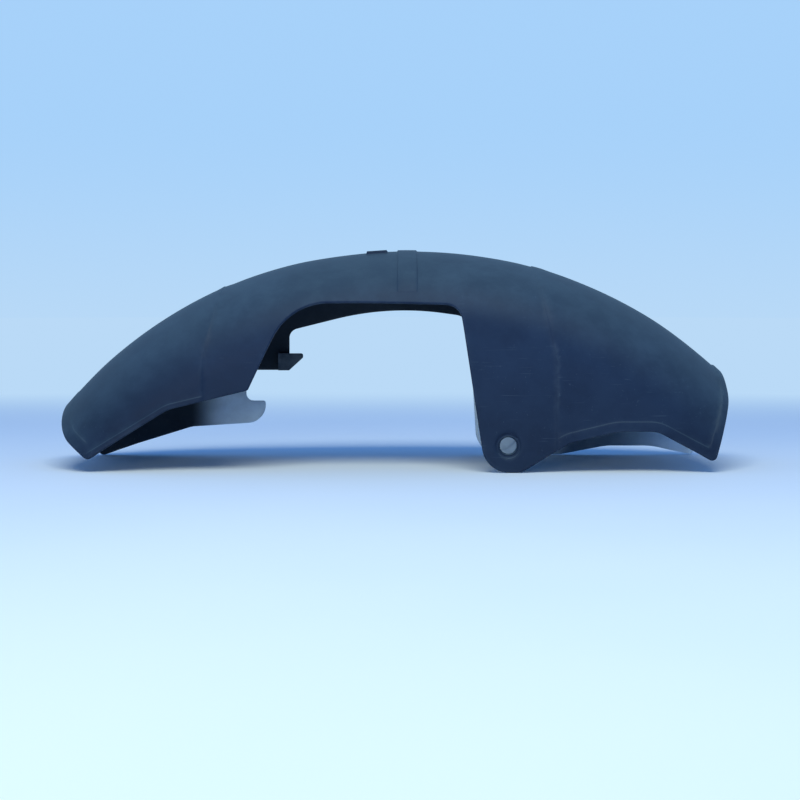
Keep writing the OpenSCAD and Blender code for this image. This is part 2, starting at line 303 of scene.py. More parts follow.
@dataclass(frozen=True)
class Outlines:
    """The edges to which both sides are trimmed, and the fork bolts' bores.

    Attributes:
        skin: The face that is trimmed.
        length: Overall length of the guard.
        headroom: How far above the crown an outline's upright ends reach.
        front_lift: How far the face stands off at the front end.
        rear_lift: How far the face stands off at the rear end.
        lift_from: Distance from the middle at which half of that is reached.
        lift_soft: Half the length over which it rises.
        spacing: Greatest distance between two points of an edge.
        lug_x: Position of both fork bolts.
        lug_z: Height of both fork bolts, which is also the lug's radius.
        bore_radius: Radius of the fork bolts' bores.
    """

    skin: Skin = Skin()
    length: float = 514.5
    headroom: float = 60.0
    front_lift: float = 0.7
    rear_lift: float = 2.3
    lift_from: float = 215.0
    lift_soft: float = 15.0
    spacing: float = 2.0
    lug_x: float = 87.0
    lug_z: float = 20.4
    bore_radius: float = 6.3

    @property
    def front_x(self) -> float:
        """Foremost X of the guard."""
        return -self.length / 2

    @property
    def rear_x(self) -> float:
        """Rearmost X of the guard."""
        return self.length / 2

    @property
    def top_z(self) -> float:
        """Height up to which an outline's upright ends are drawn."""
        return self.skin.crown_z + self.headroom

    def corners(self, side: Side) -> list[Corner]:
        """List a side's corners from above the front end, along the lower edge, to the rear.

        Args:
            side: The side whose outline is wanted.

        Returns:
            The corners; the first and the last only give a direction.
        """
        front = [Corner(self.front_x, self.top_z, 0), Corner(self.front_x, 30, 30)]
        rear = [Corner(self.rear_x, 54, 35), Corner(self.rear_x, self.top_z, 0)]
        lug_rear = Corner(self.lug_x + self.lug_z / 2, 0, self.lug_z * 0.7)
        if side is Side.NEAR:
            return front + [
                Corner(-231, 9.5, 4), Corner(-169, 47.5, 26), Corner(-109, 62, 3),
                Corner(-77.5, 128.5, 46), Corner(-20, 128.5, 60), Corner(50.5, 127, 13),
                Corner(70.1, 0, self.lug_z), lug_rear, Corner(133, 22.3, 20),
                Corner(169, 31, 40), Corner(199, 31, 22), Corner(243, 7.5, 4),
            ] + rear
        return front + [
            Corner(-243, 0, 4), Corner(-167, 23.5, 26), Corner(-106, 27.5, 15),
            Corner(-106, 45, 2.2), Corner(-122, 45, 6), Corner(-122, 70.5, 6),
            Corner(-86, 70.5, 1.6), Corner(-86, 103.5, 8), Corner(-3, 124.2, 230),
            Corner(62.5, 115, 13), Corner(69.5, 0, self.lug_z), lug_rear, Corner(139, 0.5, 8),
            Corner(176.5, 7.6, 60), Corner(214, 7.6, 60), Corner(249, 0, 4),
        ] + rear

    def lift_at(self, x: Array) -> Array:
        """Give how far the outer face stands off near the ends, where X alone decides it."""
        lift = np.where(x < 0, self.front_lift, self.rear_lift)
        return lift * ramp(np.abs(x) - self.lift_from, self.lift_soft)

    def edge(self, side: Side) -> Array:
        """Give one side's edge, from the front crown to the rear crown.

        Args:
            side: The side whose edge is wanted.

        Returns:
            Places on the skin, one row each.
        """
        xz = rounded_path(self.corners(side), self.spacing)
        lower = self.skin.locate(xz, side, self.lift_at(xz[:, 0]))
        ends = []
        for x, v_end, lift in (
            (self.front_x, lower[0, 1], self.front_lift),
            (self.rear_x, lower[-1, 1], self.rear_lift),
        ):
            steps = math.ceil(abs(v_end) / self.spacing)
            v = v_end * np.arange(steps) / steps
            ends.append(self.skin.at_x(x, v, lift))
        return np.vstack([ends[0], lower, ends[1][::-1]])

    def loop(self) -> Array:
        """Give the whole edge as a closed loop of places with the guard on its left."""
        near, far = self.edge(Side.NEAR), self.edge(Side.FAR)
        return np.vstack([near, far[::-1][1:-1]])

    def ring(self, side: Side, radius: float, steps: int = 56) -> Array:
        """Give a circle round a bore, with the guard on its left.

        Args:
            side: The side of the bore.
            radius: Radius of the circle.
            steps: Number of places on it.

        Returns:
            Places on the skin, one row each.
        """
        t = np.arange(steps) * (math.tau / steps) * side.value
        xz = np.column_stack([self.lug_x + radius * np.cos(t), self.lug_z + radius * np.sin(t)])
        return self.skin.locate(xz, side)


def inward(skin: Skin, loop: Array, distance: float) -> Array:
    """Move a closed loop of places to its left by a real distance.

    Args:
        skin: The skin on which the loop lies.
        loop: The loop's places.
        distance: How far they move.

    Returns:
        The moved places, one row each.
    """
    scale = np.column_stack([skin.stretch(loop[:, 1]), np.ones(len(loop))])
    ahead = unit((np.roll(loop, -1, axis=0) - loop) * scale)
    back = unit((loop - np.roll(loop, 1, axis=0)) * scale)
    mean = unit(ahead + back)
    normal = np.column_stack([-mean[:, 1], mean[:, 0]])
    miter = 1 / np.maximum((mean * ahead).sum(axis=1), MITER_LIMIT)
    return loop + normal * (distance * miter)[:, None] / scale


def distance_to(points: Array, line: Array) -> Array:
    """Measure how far points are from a polyline, in 2-D or 3-D.

    Args:
        points: The points to measure from.
        line: The polyline's points; a closed one repeats its first.

    Returns:
        One distance for each point.
    """
    out = np.empty(len(points))
    for start in range(0, len(points), BATCH):
        chunk = points[start:start + BATCH]
        gaps = ((chunk[:, None, :] - line[None, :, :]) ** 2).sum(axis=2)
        nearest = gaps.argmin(axis=1)
        best = gaps[np.arange(len(chunk)), nearest]
        for step in (-1, 0):
            a = line[np.clip(nearest + step, 0, len(line) - 2)]
            b = line[np.clip(nearest + step, 0, len(line) - 2) + 1]
            leg = b - a
            t = ((chunk - a) * leg).sum(axis=1) / np.maximum((leg ** 2).sum(axis=1), TINY)
            foot = a + leg * np.clip(t, 0, 1)[:, None]
            best = np.minimum(best, ((chunk - foot) ** 2).sum(axis=1))
        out[start:start + BATCH] = np.sqrt(best)
    return out


def inside(points: Array, loop: Array) -> Array:
    """Test which 2-D points lie inside a closed loop.

    Args:
        points: The points to test.
        loop: The loop's points.

    Returns:
        True or false for each point.
    """
    odd = np.zeros(len(points), bool)
    for a, b in zip(loop, np.roll(loop, -1, axis=0)):
        if a[1] == b[1]:
            continue
        spans = (points[:, 1] < a[1]) != (points[:, 1] < b[1])
        x = a[0] + (points[:, 1] - a[1]) * (b[0] - a[0]) / (b[1] - a[1])
        odd ^= spans & (points[:, 0] < x)
    return odd


# ---- what stands on the faces ----


class Warp(NamedTuple):
    """A slow unevenness: one sine along X times one along Z, both skewed by Y.

    Each length is that of one radian.
    """

    height: float
    x_length: float
    x_skew: float
    x_phase: float
    z_length: float
    z_skew: float
    z_phase: float


@dataclass(frozen=True)
class Relief:
    """Everything that is raised on or sunk into the moulding, as a lift at each place.

    Attributes:
        edges: The guard's outlines.
        outline_step: Spacing of the outline from which distances are measured.
        skirt_from_y: Distance from the centre line past which a point is on a skirt.
        wall: Thickness of the wall.
        soft: Half the width over which a step rises.
        warps: The slight unevenness of the wall.
        swell: Lift of the crown line at places along X, where it leaves a true circle.
        swell_step: Spacing at which the swell is drawn.
        swell_window: Number of those steps over which it is smoothed.
        swell_margin: How far it is drawn past the guard's ends.
        raise_height: Height of the front and rear parts above the middle part.
        front_crease_x: Crease between the front and middle parts, at the crown.
        rear_crease_x: Crease between the middle and rear parts, at the crown.
        crease_lean: How far each crease leans towards its end, down the side.
        front_bead: Middle, half width and height of the bead on the front crease.
        rear_bead: The same for the rear crease; the middle is measured past the crease.
        bead_least: Share of a bead's height that is left low on the sides.
        bead_fade: Height at which half of the rest is left, and half the height of the fading.
        highlight_z: Heights between which a painted highlight runs along the crests of the creases.
        highlight_z_soft: Half the heights over which the painted highlight ends there.
        highlight_band: Half the width of the painted highlight's band, and half the width of its
            edges.
        highlight_shares: How strongly the painted highlight shows on the front and the rear crest.
        strap_x: Front edge of the strap over the crown.
        strap_width: Width of the strap.
        strap_height: Height of the strap.
        strap_end_z: Height above the bench at which the strap ends.
        strap_run_out: Half the height over which the strap thins towards its ends.
        strap_thin: Share of the strap's height that is left at its ends.
        strap_end_soft: Half the height over which each end steps down.
        pad_x: Centre of the flat pad on the crown.
        pad_length: Length of the pad, along the guard.
        pad_width: Width of the pad, across the guard.
        pad_height: Height of the pad's flat top above the crown line.
        front_tip_x: Position of the front skirts' lowest corner, behind which the lip ends.
        rear_tip_x: Position of the rear skirts' lowest corner, before which the lip ends.
        tip_soft: Half the length over which a lip gives way to the rim band.
        front_lip: Width of the rolled lip at the front end.
        rear_lip: Width of the rolled lip at the rear end.
        front_lip_height: Height of the front lip, on both faces.
        rear_lip_height: Height of the rear lip, on both faces.
        inner_lip_soft: Half the width over which a lip rises on the inner face.
        front_rim: Width of the rim band along the front skirts.
        rear_rim: Width of the rim band along the rear skirts.
        rim_height: Height of the rim bands.
        rim_soft: Half the length over which a rim band begins at a crease.
        fold_band: Distance of the fold groove from the near cut-out's edge.
        fold_half_width: Half the groove's width.
        fold_depth: Depth of the groove.
        fold_z: Heights between which it runs.
        fold_z_soft: Half the heights over which it ends there.
        fold_x: Positions between which it runs.
        fold_x_soft: Half the lengths over which it ends there.
        seat_radius: Radius of the seat round a bore.
        seat_depth: Depth of that seat.
        seat_soft: Half the width over which it sinks.
        boss_radius: Radius of the pad behind a bore.
        boss_height: Height of that pad inside the wall.
        boss_soft: Half the width over which it rises.
    """

    edges: Outlines = Outlines()
    outline_step: float = 1.0
    skirt_from_y: float = 50.0
    wall: float = 3.0
    soft: float = 0.5
    warps: tuple[Warp, ...] = (
        Warp(0.12, 41, math.inf, 0.9, 27, 60, 0.4),
        Warp(0.05, 17, -23, 2.1, 15, math.inf, 1.7))
    swell: tuple[tuple[float, float], ...] = (
        (-257, -0.6), (-240, -0.1), (-226, 0.5), (-190, 0.95), (-117, 1.1), (-73, 0.5),
        (-49, -0.25), (-33, -0.55), (27, -0.55), (69, 0.0), (102, 0.85), (150, 0.7),
        (205, 1.4), (235, 1.1), (257, 1.2))
    swell_step: float = 2.0
    swell_window: int = 13
    swell_margin: float = 20.0
    raise_height: float = 0.55
    front_crease_x: float = -125.0
    rear_crease_x: float = 105.5
    crease_lean: float = 18.0
    front_bead: Triple = (-0.6, 6.0, 0.55)
    rear_bead: Triple = (6.0, 7.5, 0.35)
    bead_least: float = 0.25
    bead_fade: Span = (112.0, 26.0)
    highlight_z: Span = (48.0, 100.0)
    highlight_z_soft: Span = (6.0, 8.0)
    highlight_band: Span = (1.0, 0.6)
    highlight_shares: Span = (0.3, 0.9)
    strap_x: float = 3.5
    strap_width: float = 15.0
    strap_height: float = 1.0
    strap_end_z: float = 136.0
    strap_run_out: float = 7.0
    strap_thin: float = 0.4
    strap_end_soft: float = 1.5
    pad_x: float = -12.5
    pad_length: float = 16.0
    pad_width: float = 32.0
    pad_height: float = 0.7
    front_tip_x: float = -231.0
    rear_tip_x: float = 243.0
    tip_soft: float = 2.0
    front_lip: float = 10.0
    rear_lip: float = 7.0
    front_lip_height: float = 0.35
    rear_lip_height: float = 1.1
    inner_lip_soft: float = 1.0
    front_rim: float = 4.0
    rear_rim: float = 7.5
    rim_height: float = 0.6
    rim_soft: float = 3.0
    fold_band: float = 8.0
    fold_half_width: float = 1.2
    fold_depth: float = 0.35
    fold_z: Span = (62.0, 112.0)
    fold_z_soft: Span = (12.0, 8.0)
    fold_x: Span = (45.0, 84.0)
    fold_x_soft: Span = (4.0, 4.0)
    seat_radius: float = 9.5
    seat_depth: float = 1.0
    seat_soft: float = 0.35
    boss_radius: float = 16.4
    boss_height: float = 2.0
    boss_soft: float = 0.6

    def crease(self, z: Array, crease_x: float, side: int) -> Array:
        """Give a crease's X at heights above the bench.

        Args:
            z: The heights.
            crease_x: X of the crease at the crown.
            side: -1 for the front crease and 1 for the rear one.

        Returns:
            One X for each height.
        """
        top = self.edges.skin.crown_z
        share = np.clip((top - self.raise_height - z) / (top / 2 - self.raise_height), 0, 1)
        return crease_x + side * self.crease_lean * share

    def past_crease(self, points: Array, crease_x: float, side: int) -> Array:
        """Measure how far points lie past a crease, towards the end."""
        return side * (points[:, 0] - self.crease(points[:, 2], crease_x, side))

    def to_outline(self, points: Array) -> Array:
        """Measure, seen from the side, how far points lie from their own side's edge.

        Args:
            points: The points to measure from.

        Returns:
            One distance for each point.
        """
        out = np.empty(len(points))
        edges = self.edges
        far = points[:, 1] >= 0
        for side, mine in ((Side.NEAR, ~far), (Side.FAR, far)):
            xz = rounded_path(edges.corners(side), self.outline_step)
            line = np.vstack([[edges.front_x, edges.top_z], xz, [edges.rear_x, edges.top_z]])
            upright = np.minimum(
                points[mine, 0] - edges.front_x, edges.rear_x - points[mine, 0])
            out[mine] = np.minimum(distance_to(points[mine][:, [0, 2]], line), upright)
        return out

    def ends(self, points: Array) -> Array:
        """Give the lift of the raised front and rear parts, with the beads beside the creases.

        Args:
            points: Points on the bare skin.

        Returns:
            One lift for each point.
        """
        lift = np.zeros(len(points))
        fade_and_top_light_z, fade_soft = self.bead_fade
        fade = self.bead_least + (1 - self.bead_least) * ramp(points[:, 2] - fade_and_top_light_z, fade_soft)
        for crease_x, side, (middle, half_width, height) in (
            (self.front_crease_x, -1, self.front_bead), (self.rear_crease_x, 1, self.rear_bead),
        ):
            past = self.past_crease(points, crease_x, side)
            hump = ramp(half_width / 2 - np.abs(past - middle), half_width / 2)
            lift += self.raise_height * ramp(past, self.soft) + height * fade * hump
        return lift

    def crown(self, points: Array, angle: Array) -> Array:
        """Give the lift by which the crown line leaves a true circle, fading down the sides.

        Args:
            points: Points on the bare skin.
            angle: Angle of the normal from upright at each.

        Returns:
            One lift for each point.
        """
        x, lift = np.array(self.swell).T
        fine = np.arange(x[0] - self.swell_margin, x[-1] + self.swell_margin, self.swell_step)
        weights = np.hanning(self.swell_window)
        smooth = np.convolve(np.interp(fine, x, lift), weights / weights.sum(), "same")
        return np.interp(points[:, 0], fine, smooth) * np.cos(angle) ** 2

    def lips(self, points: Array, gap: Array, soft: float) -> Array:
        """Give the lift of the rolled lips at both ends.

        Args:
            points: Points on the bare skin.
            gap: Distance of each from the outline.
            soft: Half the width over which a lip rises.

        Returns:
            One lift for each point.
        """
        front = ramp(self.front_tip_x - points[:, 0], self.tip_soft)
        rear = ramp(points[:, 0] - self.rear_tip_x, self.tip_soft)
        return np.maximum(
            self.front_lip_height * front * ramp(self.front_lip - gap, soft),
            self.rear_lip_height * rear * ramp(self.rear_lip - gap, soft))

    def rims(self, points: Array, gap: Array) -> Array:
        """Give the lift of the rim bands along the front and rear skirts.

        Args:
            points: Points on the bare skin.
            gap: Distance of each from the outline.

        Returns:
            One lift for each point.
        """
        x = points[:, 0]
        front = (1 - ramp(self.front_tip_x - x, self.tip_soft)) * ramp(
            self.front_crease_x - self.crease_lean - x, self.rim_soft)
        rear = (1 - ramp(x - self.rear_tip_x, self.tip_soft)) * ramp(
            x - self.rear_crease_x - self.crease_lean, self.rim_soft)
        return self.rim_height * (
            front * ramp(self.front_rim - gap, self.soft)
            + rear * ramp(self.rear_rim - gap, self.soft))

    def strap(self, points: Array) -> Array:
        """Give the lift of the strap over the crown.

        Args:
            points: Points on the bare skin.

        Returns:
            One lift for each point.
        """
        middle = self.strap_x + self.strap_width / 2
        across = ramp(self.strap_width / 2 - np.abs(points[:, 0] - middle), self.soft)
        above_end = points[:, 2] - self.strap_end_z
        runs_out = self.strap_thin + (1 - self.strap_thin) * ramp(
            above_end - self.strap_run_out, self.strap_run_out)
        return self.strap_height * across * runs_out * ramp(above_end, self.strap_end_soft)

    def pad(self, points: Array, lift: Array) -> Array:
        """Raise a lift to the flat top of the pad, within its rectangle.

        Args:
            points: Points on the bare skin.
            lift: What stands on them already.

        Returns:
            The new lift of each point.
        """
        skin = self.edges.skin
        x, y = points[:, 0], points[:, 1]
        offset = self.pad_x - skin.crown_x
        there = skin.crown_z - skin.crown_radius + math.sqrt(skin.crown_radius ** 2 - offset ** 2)
        slope = -offset / (there - skin.crown_z + skin.crown_radius)
        flat = there + self.pad_height + slope * (x - self.pad_x)
        share = ramp(self.pad_length / 2 - np.abs(x - self.pad_x), self.soft)
        share = share * ramp(self.pad_width / 2 - np.abs(y), self.soft)
        return lift + share * np.maximum(flat - points[:, 2] - lift, 0)

    def fold(self, points: Array, gap: Array) -> Array:
        """Give the shallow groove beside the near cut-out's rear edge.

        Args:
            points: Points on the bare skin.
            gap: Distance of each from the outline.

        Returns:
            One lift for each point, which is negative in the groove.
        """
        x, y, z = points.T
        there = (y < 0) * window(z, self.fold_z, self.fold_z_soft)
        there = there * window(x, self.fold_x, self.fold_x_soft)
        beside = np.abs(gap - self.fold_band) / self.fold_half_width
        return -self.fold_depth * there * np.clip(1 - beside, 0, 1)

    def waves(self, points: Array) -> Array:
        """Give the slight unevenness that a thin moulding takes as it cools.

        Args:
            points: Points on the bare skin.

        Returns:
            One lift for each point.
        """
        x, y, z = points.T
        return sum(
            warp.height * (
                np.sin(x / warp.x_length + y / warp.x_skew + warp.x_phase)
                * np.sin(z / warp.z_length + y / warp.z_skew + warp.z_phase))
            for warp in self.warps)

    def crease_highlight(self, points: Array) -> Array:
        """Give how strongly a painted highlight runs along the crests of the creases, low on the
        sides.

        Args:
            points: Points on the bare skin.

        Returns:
            A share from 0 to 1 for each point.
        """
        band, band_soft = self.highlight_band
        front, rear = (
            share * ramp(
                band - np.abs(self.past_crease(points, crease_x, side) - self.soft), band_soft)
            for crease_x, side, share in (
                (self.front_crease_x, -1, self.highlight_shares[0]),
                (self.rear_crease_x, 1, self.highlight_shares[1]),
            ))
        return window(points[:, 2], self.highlight_z, self.highlight_z_soft) * np.maximum(front, rear)

    def from_bore(self, points: Array) -> Array:
        """Measure, seen from the side, how far points on the skirts are from the fork bolts."""
        far = np.hypot(points[:, 0] - self.edges.lug_x, points[:, 2] - self.edges.lug_z)
        return np.where(np.abs(points[:, 1]) > self.skirt_from_y, far, np.inf)

    def outer(self, points: Array, gap: Array, angle: Array) -> Array:
        """Give the whole lift of the outer face.

        Args:
            points: Points on the bare skin.
            gap: Distance of each from the outline.
            angle: Angle of the normal from upright at each.

        Returns:
            One lift for each point.
        """
        lift = self.crown(points, angle) + self.ends(points)
        bands = np.maximum(self.lips(points, gap, self.soft), self.rims(points, gap))
        lift = lift + bands + self.strap(points)
        lift = self.pad(points, lift + self.fold(points, gap) + self.waves(points))
        seat = ramp(self.seat_radius - self.from_bore(points), self.seat_soft)
        return lift - self.seat_depth * seat

    def inner(self, points: Array, gap: Array, angle: Array) -> Array:
        """Give the whole lift of the inner face, which is negative.

        Args:
            points: Points on the bare skin.
            gap: Distance of each from the outline.
            angle: Angle of the normal from upright at each.

        Returns:
            One lift for each point.
        """
        lips = self.lips(points, gap, self.inner_lip_soft)
        boss = self.boss_height * ramp(self.boss_radius - self.from_bore(points), self.boss_soft)
        return self.crown(points, angle) - self.wall - lips - boss + self.waves(points)


@dataclass
class Sprinkle:
    """Places that a net goes through, kept apart from each other.

    Attributes:
        cell: Size of the cells in which neighbours are looked up.
        kept: The places of the net, in the order in which they came.
        cells: All places, also those that only keep others off, by their cell.
    """

    cell: float = 2.0
    kept: list[tuple[float, float]] = field(default_factory=list)
    cells: dict[tuple[int, int], list[tuple[float, float]]] = field(default_factory=dict)

    def add(self, places: Array, apart: float, keep: bool = True) -> None:
        """Take in the places that are far enough from all the others.

        Args:
            places: The places to add, in order of importance.
            apart: Least distance to any place that is already there.
            keep: Whether the places become part of the net, and not only keep others off.
        """
        for u, v in places:
            key = (math.floor(u / self.cell), math.floor(v / self.cell))
            if apart and any(
                (u - a) ** 2 + (v - b) ** 2 < apart * apart
                for i in (-1, 0, 1) for j in (-1, 0, 1)
                for a, b in self.cells.get((key[0] + i, key[1] + j), ())
            ):
                continue
            self.cells.setdefault(key, []).append((u, v))
            if keep:
                self.kept.append((u, v))


# ---- shader maths ----


class Value:
    """A shader socket that takes part in arithmetic by adding Math nodes."""

    def __init__(self, graph: "Graph", socket: bpy.types.NodeSocket) -> None:
        """Wrap a socket of a graph."""
        self.graph = graph
        self.socket = socket

    def math(self, operation: str, *operands: Any) -> "Value":
        """Add a Math node on these operands."""
        return self.graph.node(
            "ShaderNodeMath", {"operation": operation}, dict(enumerate(operands)))

    def __add__(self, other: Any) -> "Value":
        """Add a number or a value."""
        return self.math("ADD", self, other)

    __radd__ = __add__

    def __sub__(self, other: Any) -> "Value":
        """Take away a number or a value."""
        return self.math("SUBTRACT", self, other)

    def __rsub__(self, other: Any) -> "Value":
        """Take this value away from a number."""
        return self.math("SUBTRACT", other, self)

    def __mul__(self, other: Any) -> "Value":
        """Multiply by a number or a value."""
        return self.math("MULTIPLY", self, other)

    __rmul__ = __mul__

    def between(self, low: float, high: float) -> "Value":
        """Rise smoothly from 0 at low to 1 at high."""
        return self.graph.node(
            "ShaderNodeMapRange", {"interpolation_type": "SMOOTHSTEP"},
            {"Value": self, "From Min": low, "From Max": high})


class Graph:
    """A material's or world's node tree, with the few ways in which nodes are added to it."""

    def __init__(self, tree: bpy.types.NodeTree) -> None:
        """Start on an empty tree."""
        self.tree = tree
        tree.nodes.clear()

    def node(self, kind: str, settings: dict[str, Any] | None = None,
             inputs: dict[str | int, Any] | None = None, output: int = 0) -> Value:
        """Add one node.

        Args:
            kind: The node's type.
            settings: Its own settings, which are set before its sockets.
            inputs: Values or links, by the socket's name or index.
            output: Index of the output that is wanted.

        Returns:
            That output as a value.
        """
        made = self.tree.nodes.new(kind)
        for name, setting in (settings or {}).items():
            setattr(made, name, setting)
        for key, value in (inputs or {}).items():
            if isinstance(value, Value):
                self.tree.links.new(value.socket, made.inputs[key])
            else:
                made.inputs[key].default_value = value
        return Value(self, made.outputs[output]) if made.outputs else Value(self, None)

    def noise(self, vector: Value, scale: float, detail: float = 2.0, rough: float = 0.5) -> Value:
        """Add a noise texture and give its factor."""
        return self.node("ShaderNodeTexNoise", {}, {
            "Vector": vector, "Scale": scale, "Detail": detail, "Roughness": rough})

    def stretched(self, vector: Value, scale: Triple, turn: Triple) -> Value:
        """Turn and stretch coordinates."""
        return self.node("ShaderNodeMapping", {}, {
            "Vector": vector, "Scale": scale, "Rotation": tuple(map(math.radians, turn))})

    def seen(self) -> Value:
        """Give 1 for rays from the camera and for those of gloss and glass."""
        camera, glossy, through = (
            self.node("ShaderNodeLightPath", output=index) for index in (0, 3, 6))
        return camera + glossy + through

    def mix(self, share: Any, first: Any, second: Any) -> Value:
        """Mix two colours; a plain colour is given as three numbers."""
        colours = [c if isinstance(c, Value) else (*c, 1.0) for c in (first, second)]
        return self.node("ShaderNodeMix", {"data_type": "RGBA"},
                         {0: share, 6: colours[0], 7: colours[1]}, output=2)


def new_material(name: str) -> tuple[bpy.types.Material, Graph]:
    """Make a material on an empty node tree.

    Args:
        name: Name of the material.

    Returns:
        The material and its graph.
    """
    material = bpy.data.materials.new(name)
    material.use_nodes = True
    return material, Graph(material.node_tree)


def patchy(noise: Value, contrast: Span, share: float) -> Value:
    """Give 1, less up to a share of it where the noise is low."""
    return (1 - share) + noise.between(*contrast) * share


@dataclass(frozen=True)
class Scratches:
    """Fine lines that run one way, as noise that is stretched along them.

    Attributes:
        stretch: Scale of the noise along X, Y and Z.
        turn: How it is turned about X, Y and Z, in degrees.
        contrast: Noise at which a line begins, and at which it shows fully.
        detail: Detail of the noise.
        rough: Roughness of the noise.
    """

    stretch: Triple
    turn: Triple
    contrast: Span
    detail: float = 2.0
    rough: float = 0.5

    def on(self, g: Graph, at: Value) -> Value:
        """Give how strongly the lines show over a surface."""
        noise = g.noise(g.stretched(at, self.stretch, self.turn), 1.0, self.detail, self.rough)
        return noise.between(*self.contrast)


@dataclass(frozen=True)
class MouldedFinish:
    """Matt moulded plastic that has been ridden in, dried by the sun and handled, with painted light
    and shade laid into its colour.

    Attributes:
        name: Name of the material.
        plastic: Colour of the clean moulding.
        faded_and_sheen: Colour where the sun has dried it, bluer and lighter, which also stands for
            a painted blue sheen and painted top light.
        dust_and_light: Colour of the dust on it, and of painted light on faces that look up and low
            on the inner face.
        scuff: Colour of the fine scratches.
        roughness: Roughness of the clean moulding.
        fade_and_sheen_share: How far the faded patches, the painted sheen and the painted top light
            go.
        up_dust_and_light_share: How much dust lies on faces that look up; it also paints their top
            lighter, as light from above would.
        film_share: How much dust clings everywhere.
        scuff_share: How strongly the scratches show.
        light_pool_share: How strongly painted light lies low on the inner face, where lamps shine in
            through the cut-outs.
        light_pool_top: Heights between which that painted light ends under the shade of the crown,
            in metres.
        light_pool_wander: How far that limit wanders up and down, in metres.
        light_pool_front: Where along the guard the painted light begins, past the front skirt's
            painted shadow edge, in metres.
        lug_shadow: Where it gives way to the lug's painted shadow.
        light_pool_rear: Where the painted light behind the rear skirt begins.
        lug_shadow_share: How much of the painted light the lug's painted shadow takes away between
            those two.
        cloud: Scale, detail and roughness of the broad clouds.
        blotch: Scale, detail and roughness of the blotches.
        speck: Scale, detail and roughness of the specks.
        fade_parts: Parts of the fading that are even, in clouds and high on the guard; the part high
            up is painted top light.
        fade_contrast: Noise between which the faded clouds set in.
        fade_and_top_light_z: Heights between which the guard turns lighter high up, as painted top
            light, in metres.
        looks_up: How far up a face looks when its dust and painted top light begin, and when they
            are full.
        dust_patches: Noise between which the settled dust sets in.
        film_contrast: Noise between which the film of dust sets in.
        scratched: Noise between which the scratched patches set in.
        light_pool_patches: Noise between which the painted light pool sets in.
        rub_and_highlight_patches: Noise between which the rubbed edges and the painted crease
            highlight set in.
        rub_and_highlight_share: How strongly the rubbed edges and the painted crease highlight show.
        streaks: Faint streaks of dust.
        lines: Scratches along the guard.
        hairs: Scratches across it.
        mottle: How far the blotches change the roughness.
        dust_rough: How far dust and the painted light pool raise it.
        mark_rough: How far the scratches raise it.
        rub_polish: How far the rubbed edges and the painted crease highlight lower it.
        speck_rough: How far the specks change it.
        grain: Size of the moulded grain, in metres.
        relief_parts: Height of the grain and the specks, and depth of the scratches.
        relief: Depth of all that in the surface, in metres, and its strength.
        gloss: Strength of the reflection.
    """

    name: str
    plastic: Colour
    faded_and_sheen: Colour
    dust_and_light: Colour
    scuff: Colour
    roughness: float
    fade_and_sheen_share: float
    up_dust_and_light_share: float
    film_share: float
    scuff_share: float
    light_pool_share: float = 0.0
    light_pool_top: Span = (0.044, 0.072)
    light_pool_wander: float = 0.03
    light_pool_front: Span = (-0.168, -0.136)
    lug_shadow: Span = (0.115, 0.150)
    light_pool_rear: Span = (0.175, 0.240)
    lug_shadow_share: float = 0.75
    cloud: Triple = (8.0, 3.0, 0.5)
    blotch: Triple = (46.0, 5.0, 0.62)
    speck: Triple = (620.0, 2.0, 0.5)
    fade_parts: Triple = (0.2, 0.4, 0.4)
    fade_contrast: Span = (0.38, 0.66)
    fade_and_top_light_z: Span = (0.02, 0.10)
    looks_up: Span = (0.10, 0.95)
    dust_patches: Span = (0.30, 0.72)
    film_contrast: Span = (0.38, 0.70)
    scratched: Span = (0.42, 0.6)
    light_pool_patches: Span = (0.3, 0.7)
    rub_and_highlight_patches: Span = (0.38, 0.62)
    rub_and_highlight_share: float = 0.25
    streaks: Scratches = Scratches(
        (9.0, 110.0, 70.0), (0.0, 24.0, 0.0), (0.55, 0.8), detail=4.0, rough=0.6)
    lines: Scratches = Scratches((30.0, 900.0, 900.0), (0.0, 31.0, 8.0), (0.66, 0.74))
    hairs: Scratches = Scratches((700.0, 25.0, 420.0), (12.0, -18.0, 40.0), (0.68, 0.75))
    mottle: float = 0.16
    dust_rough: float = 0.25
    mark_rough: float = 0.1
    rub_polish: float = 0.10
    speck_rough: float = 0.06
    grain: float = 0.0007
    relief_parts: Triple = (0.6, 0.3, 0.5)
    relief: Span = (0.00006, 0.5)
    gloss: float = 0.12

    def painted_light_pool(self, x: Value, z: Value, cloud: Value, blotch: Value) -> Value:
        """Give how strongly painted light lies low on the inner face, where lamps shine in through
        the cut-outs.

        Args:
            x: Position along the guard.
            z: Height above the bench.
            cloud: The broad clouds.
            blotch: The blotches.

        Returns:
            A share from 0 to 1.
        """
        # Painted light low on the inner face: it starts at the near skirt's shadow edge in front and
        # dips in the lug's shadow.
        low = 1 - (z + (cloud - 0.5) * self.light_pool_wander).between(*self.light_pool_top)
        thrown = x.between(*self.light_pool_front) + (
            x.between(*self.light_pool_rear) - x.between(*self.lug_shadow)) * self.lug_shadow_share
        return low * thrown * patchy(blotch, self.light_pool_patches, 0.2) * self.light_pool_share

    def make(self) -> bpy.types.Material:
        """Build the material.

        Returns:
            The material, ready for a slot.
        """
        material, g = new_material(self.name)
        at = g.node("ShaderNodeTexCoord", output=3)
        cloud, blotch, speck = (
            g.noise(at, *noise) for noise in (self.cloud, self.blotch, self.speck))
        x, z = (g.node("ShaderNodeSeparateXYZ", {}, {0: at}, output=axis) for axis in (0, 2))
        normal = g.node("ShaderNodeNewGeometry", output=1)
        up = g.node("ShaderNodeSeparateXYZ", {}, {0: normal}, output=2)
        edge = g.node("ShaderNodeAttribute", {"attribute_name": "edge"}, output=2)

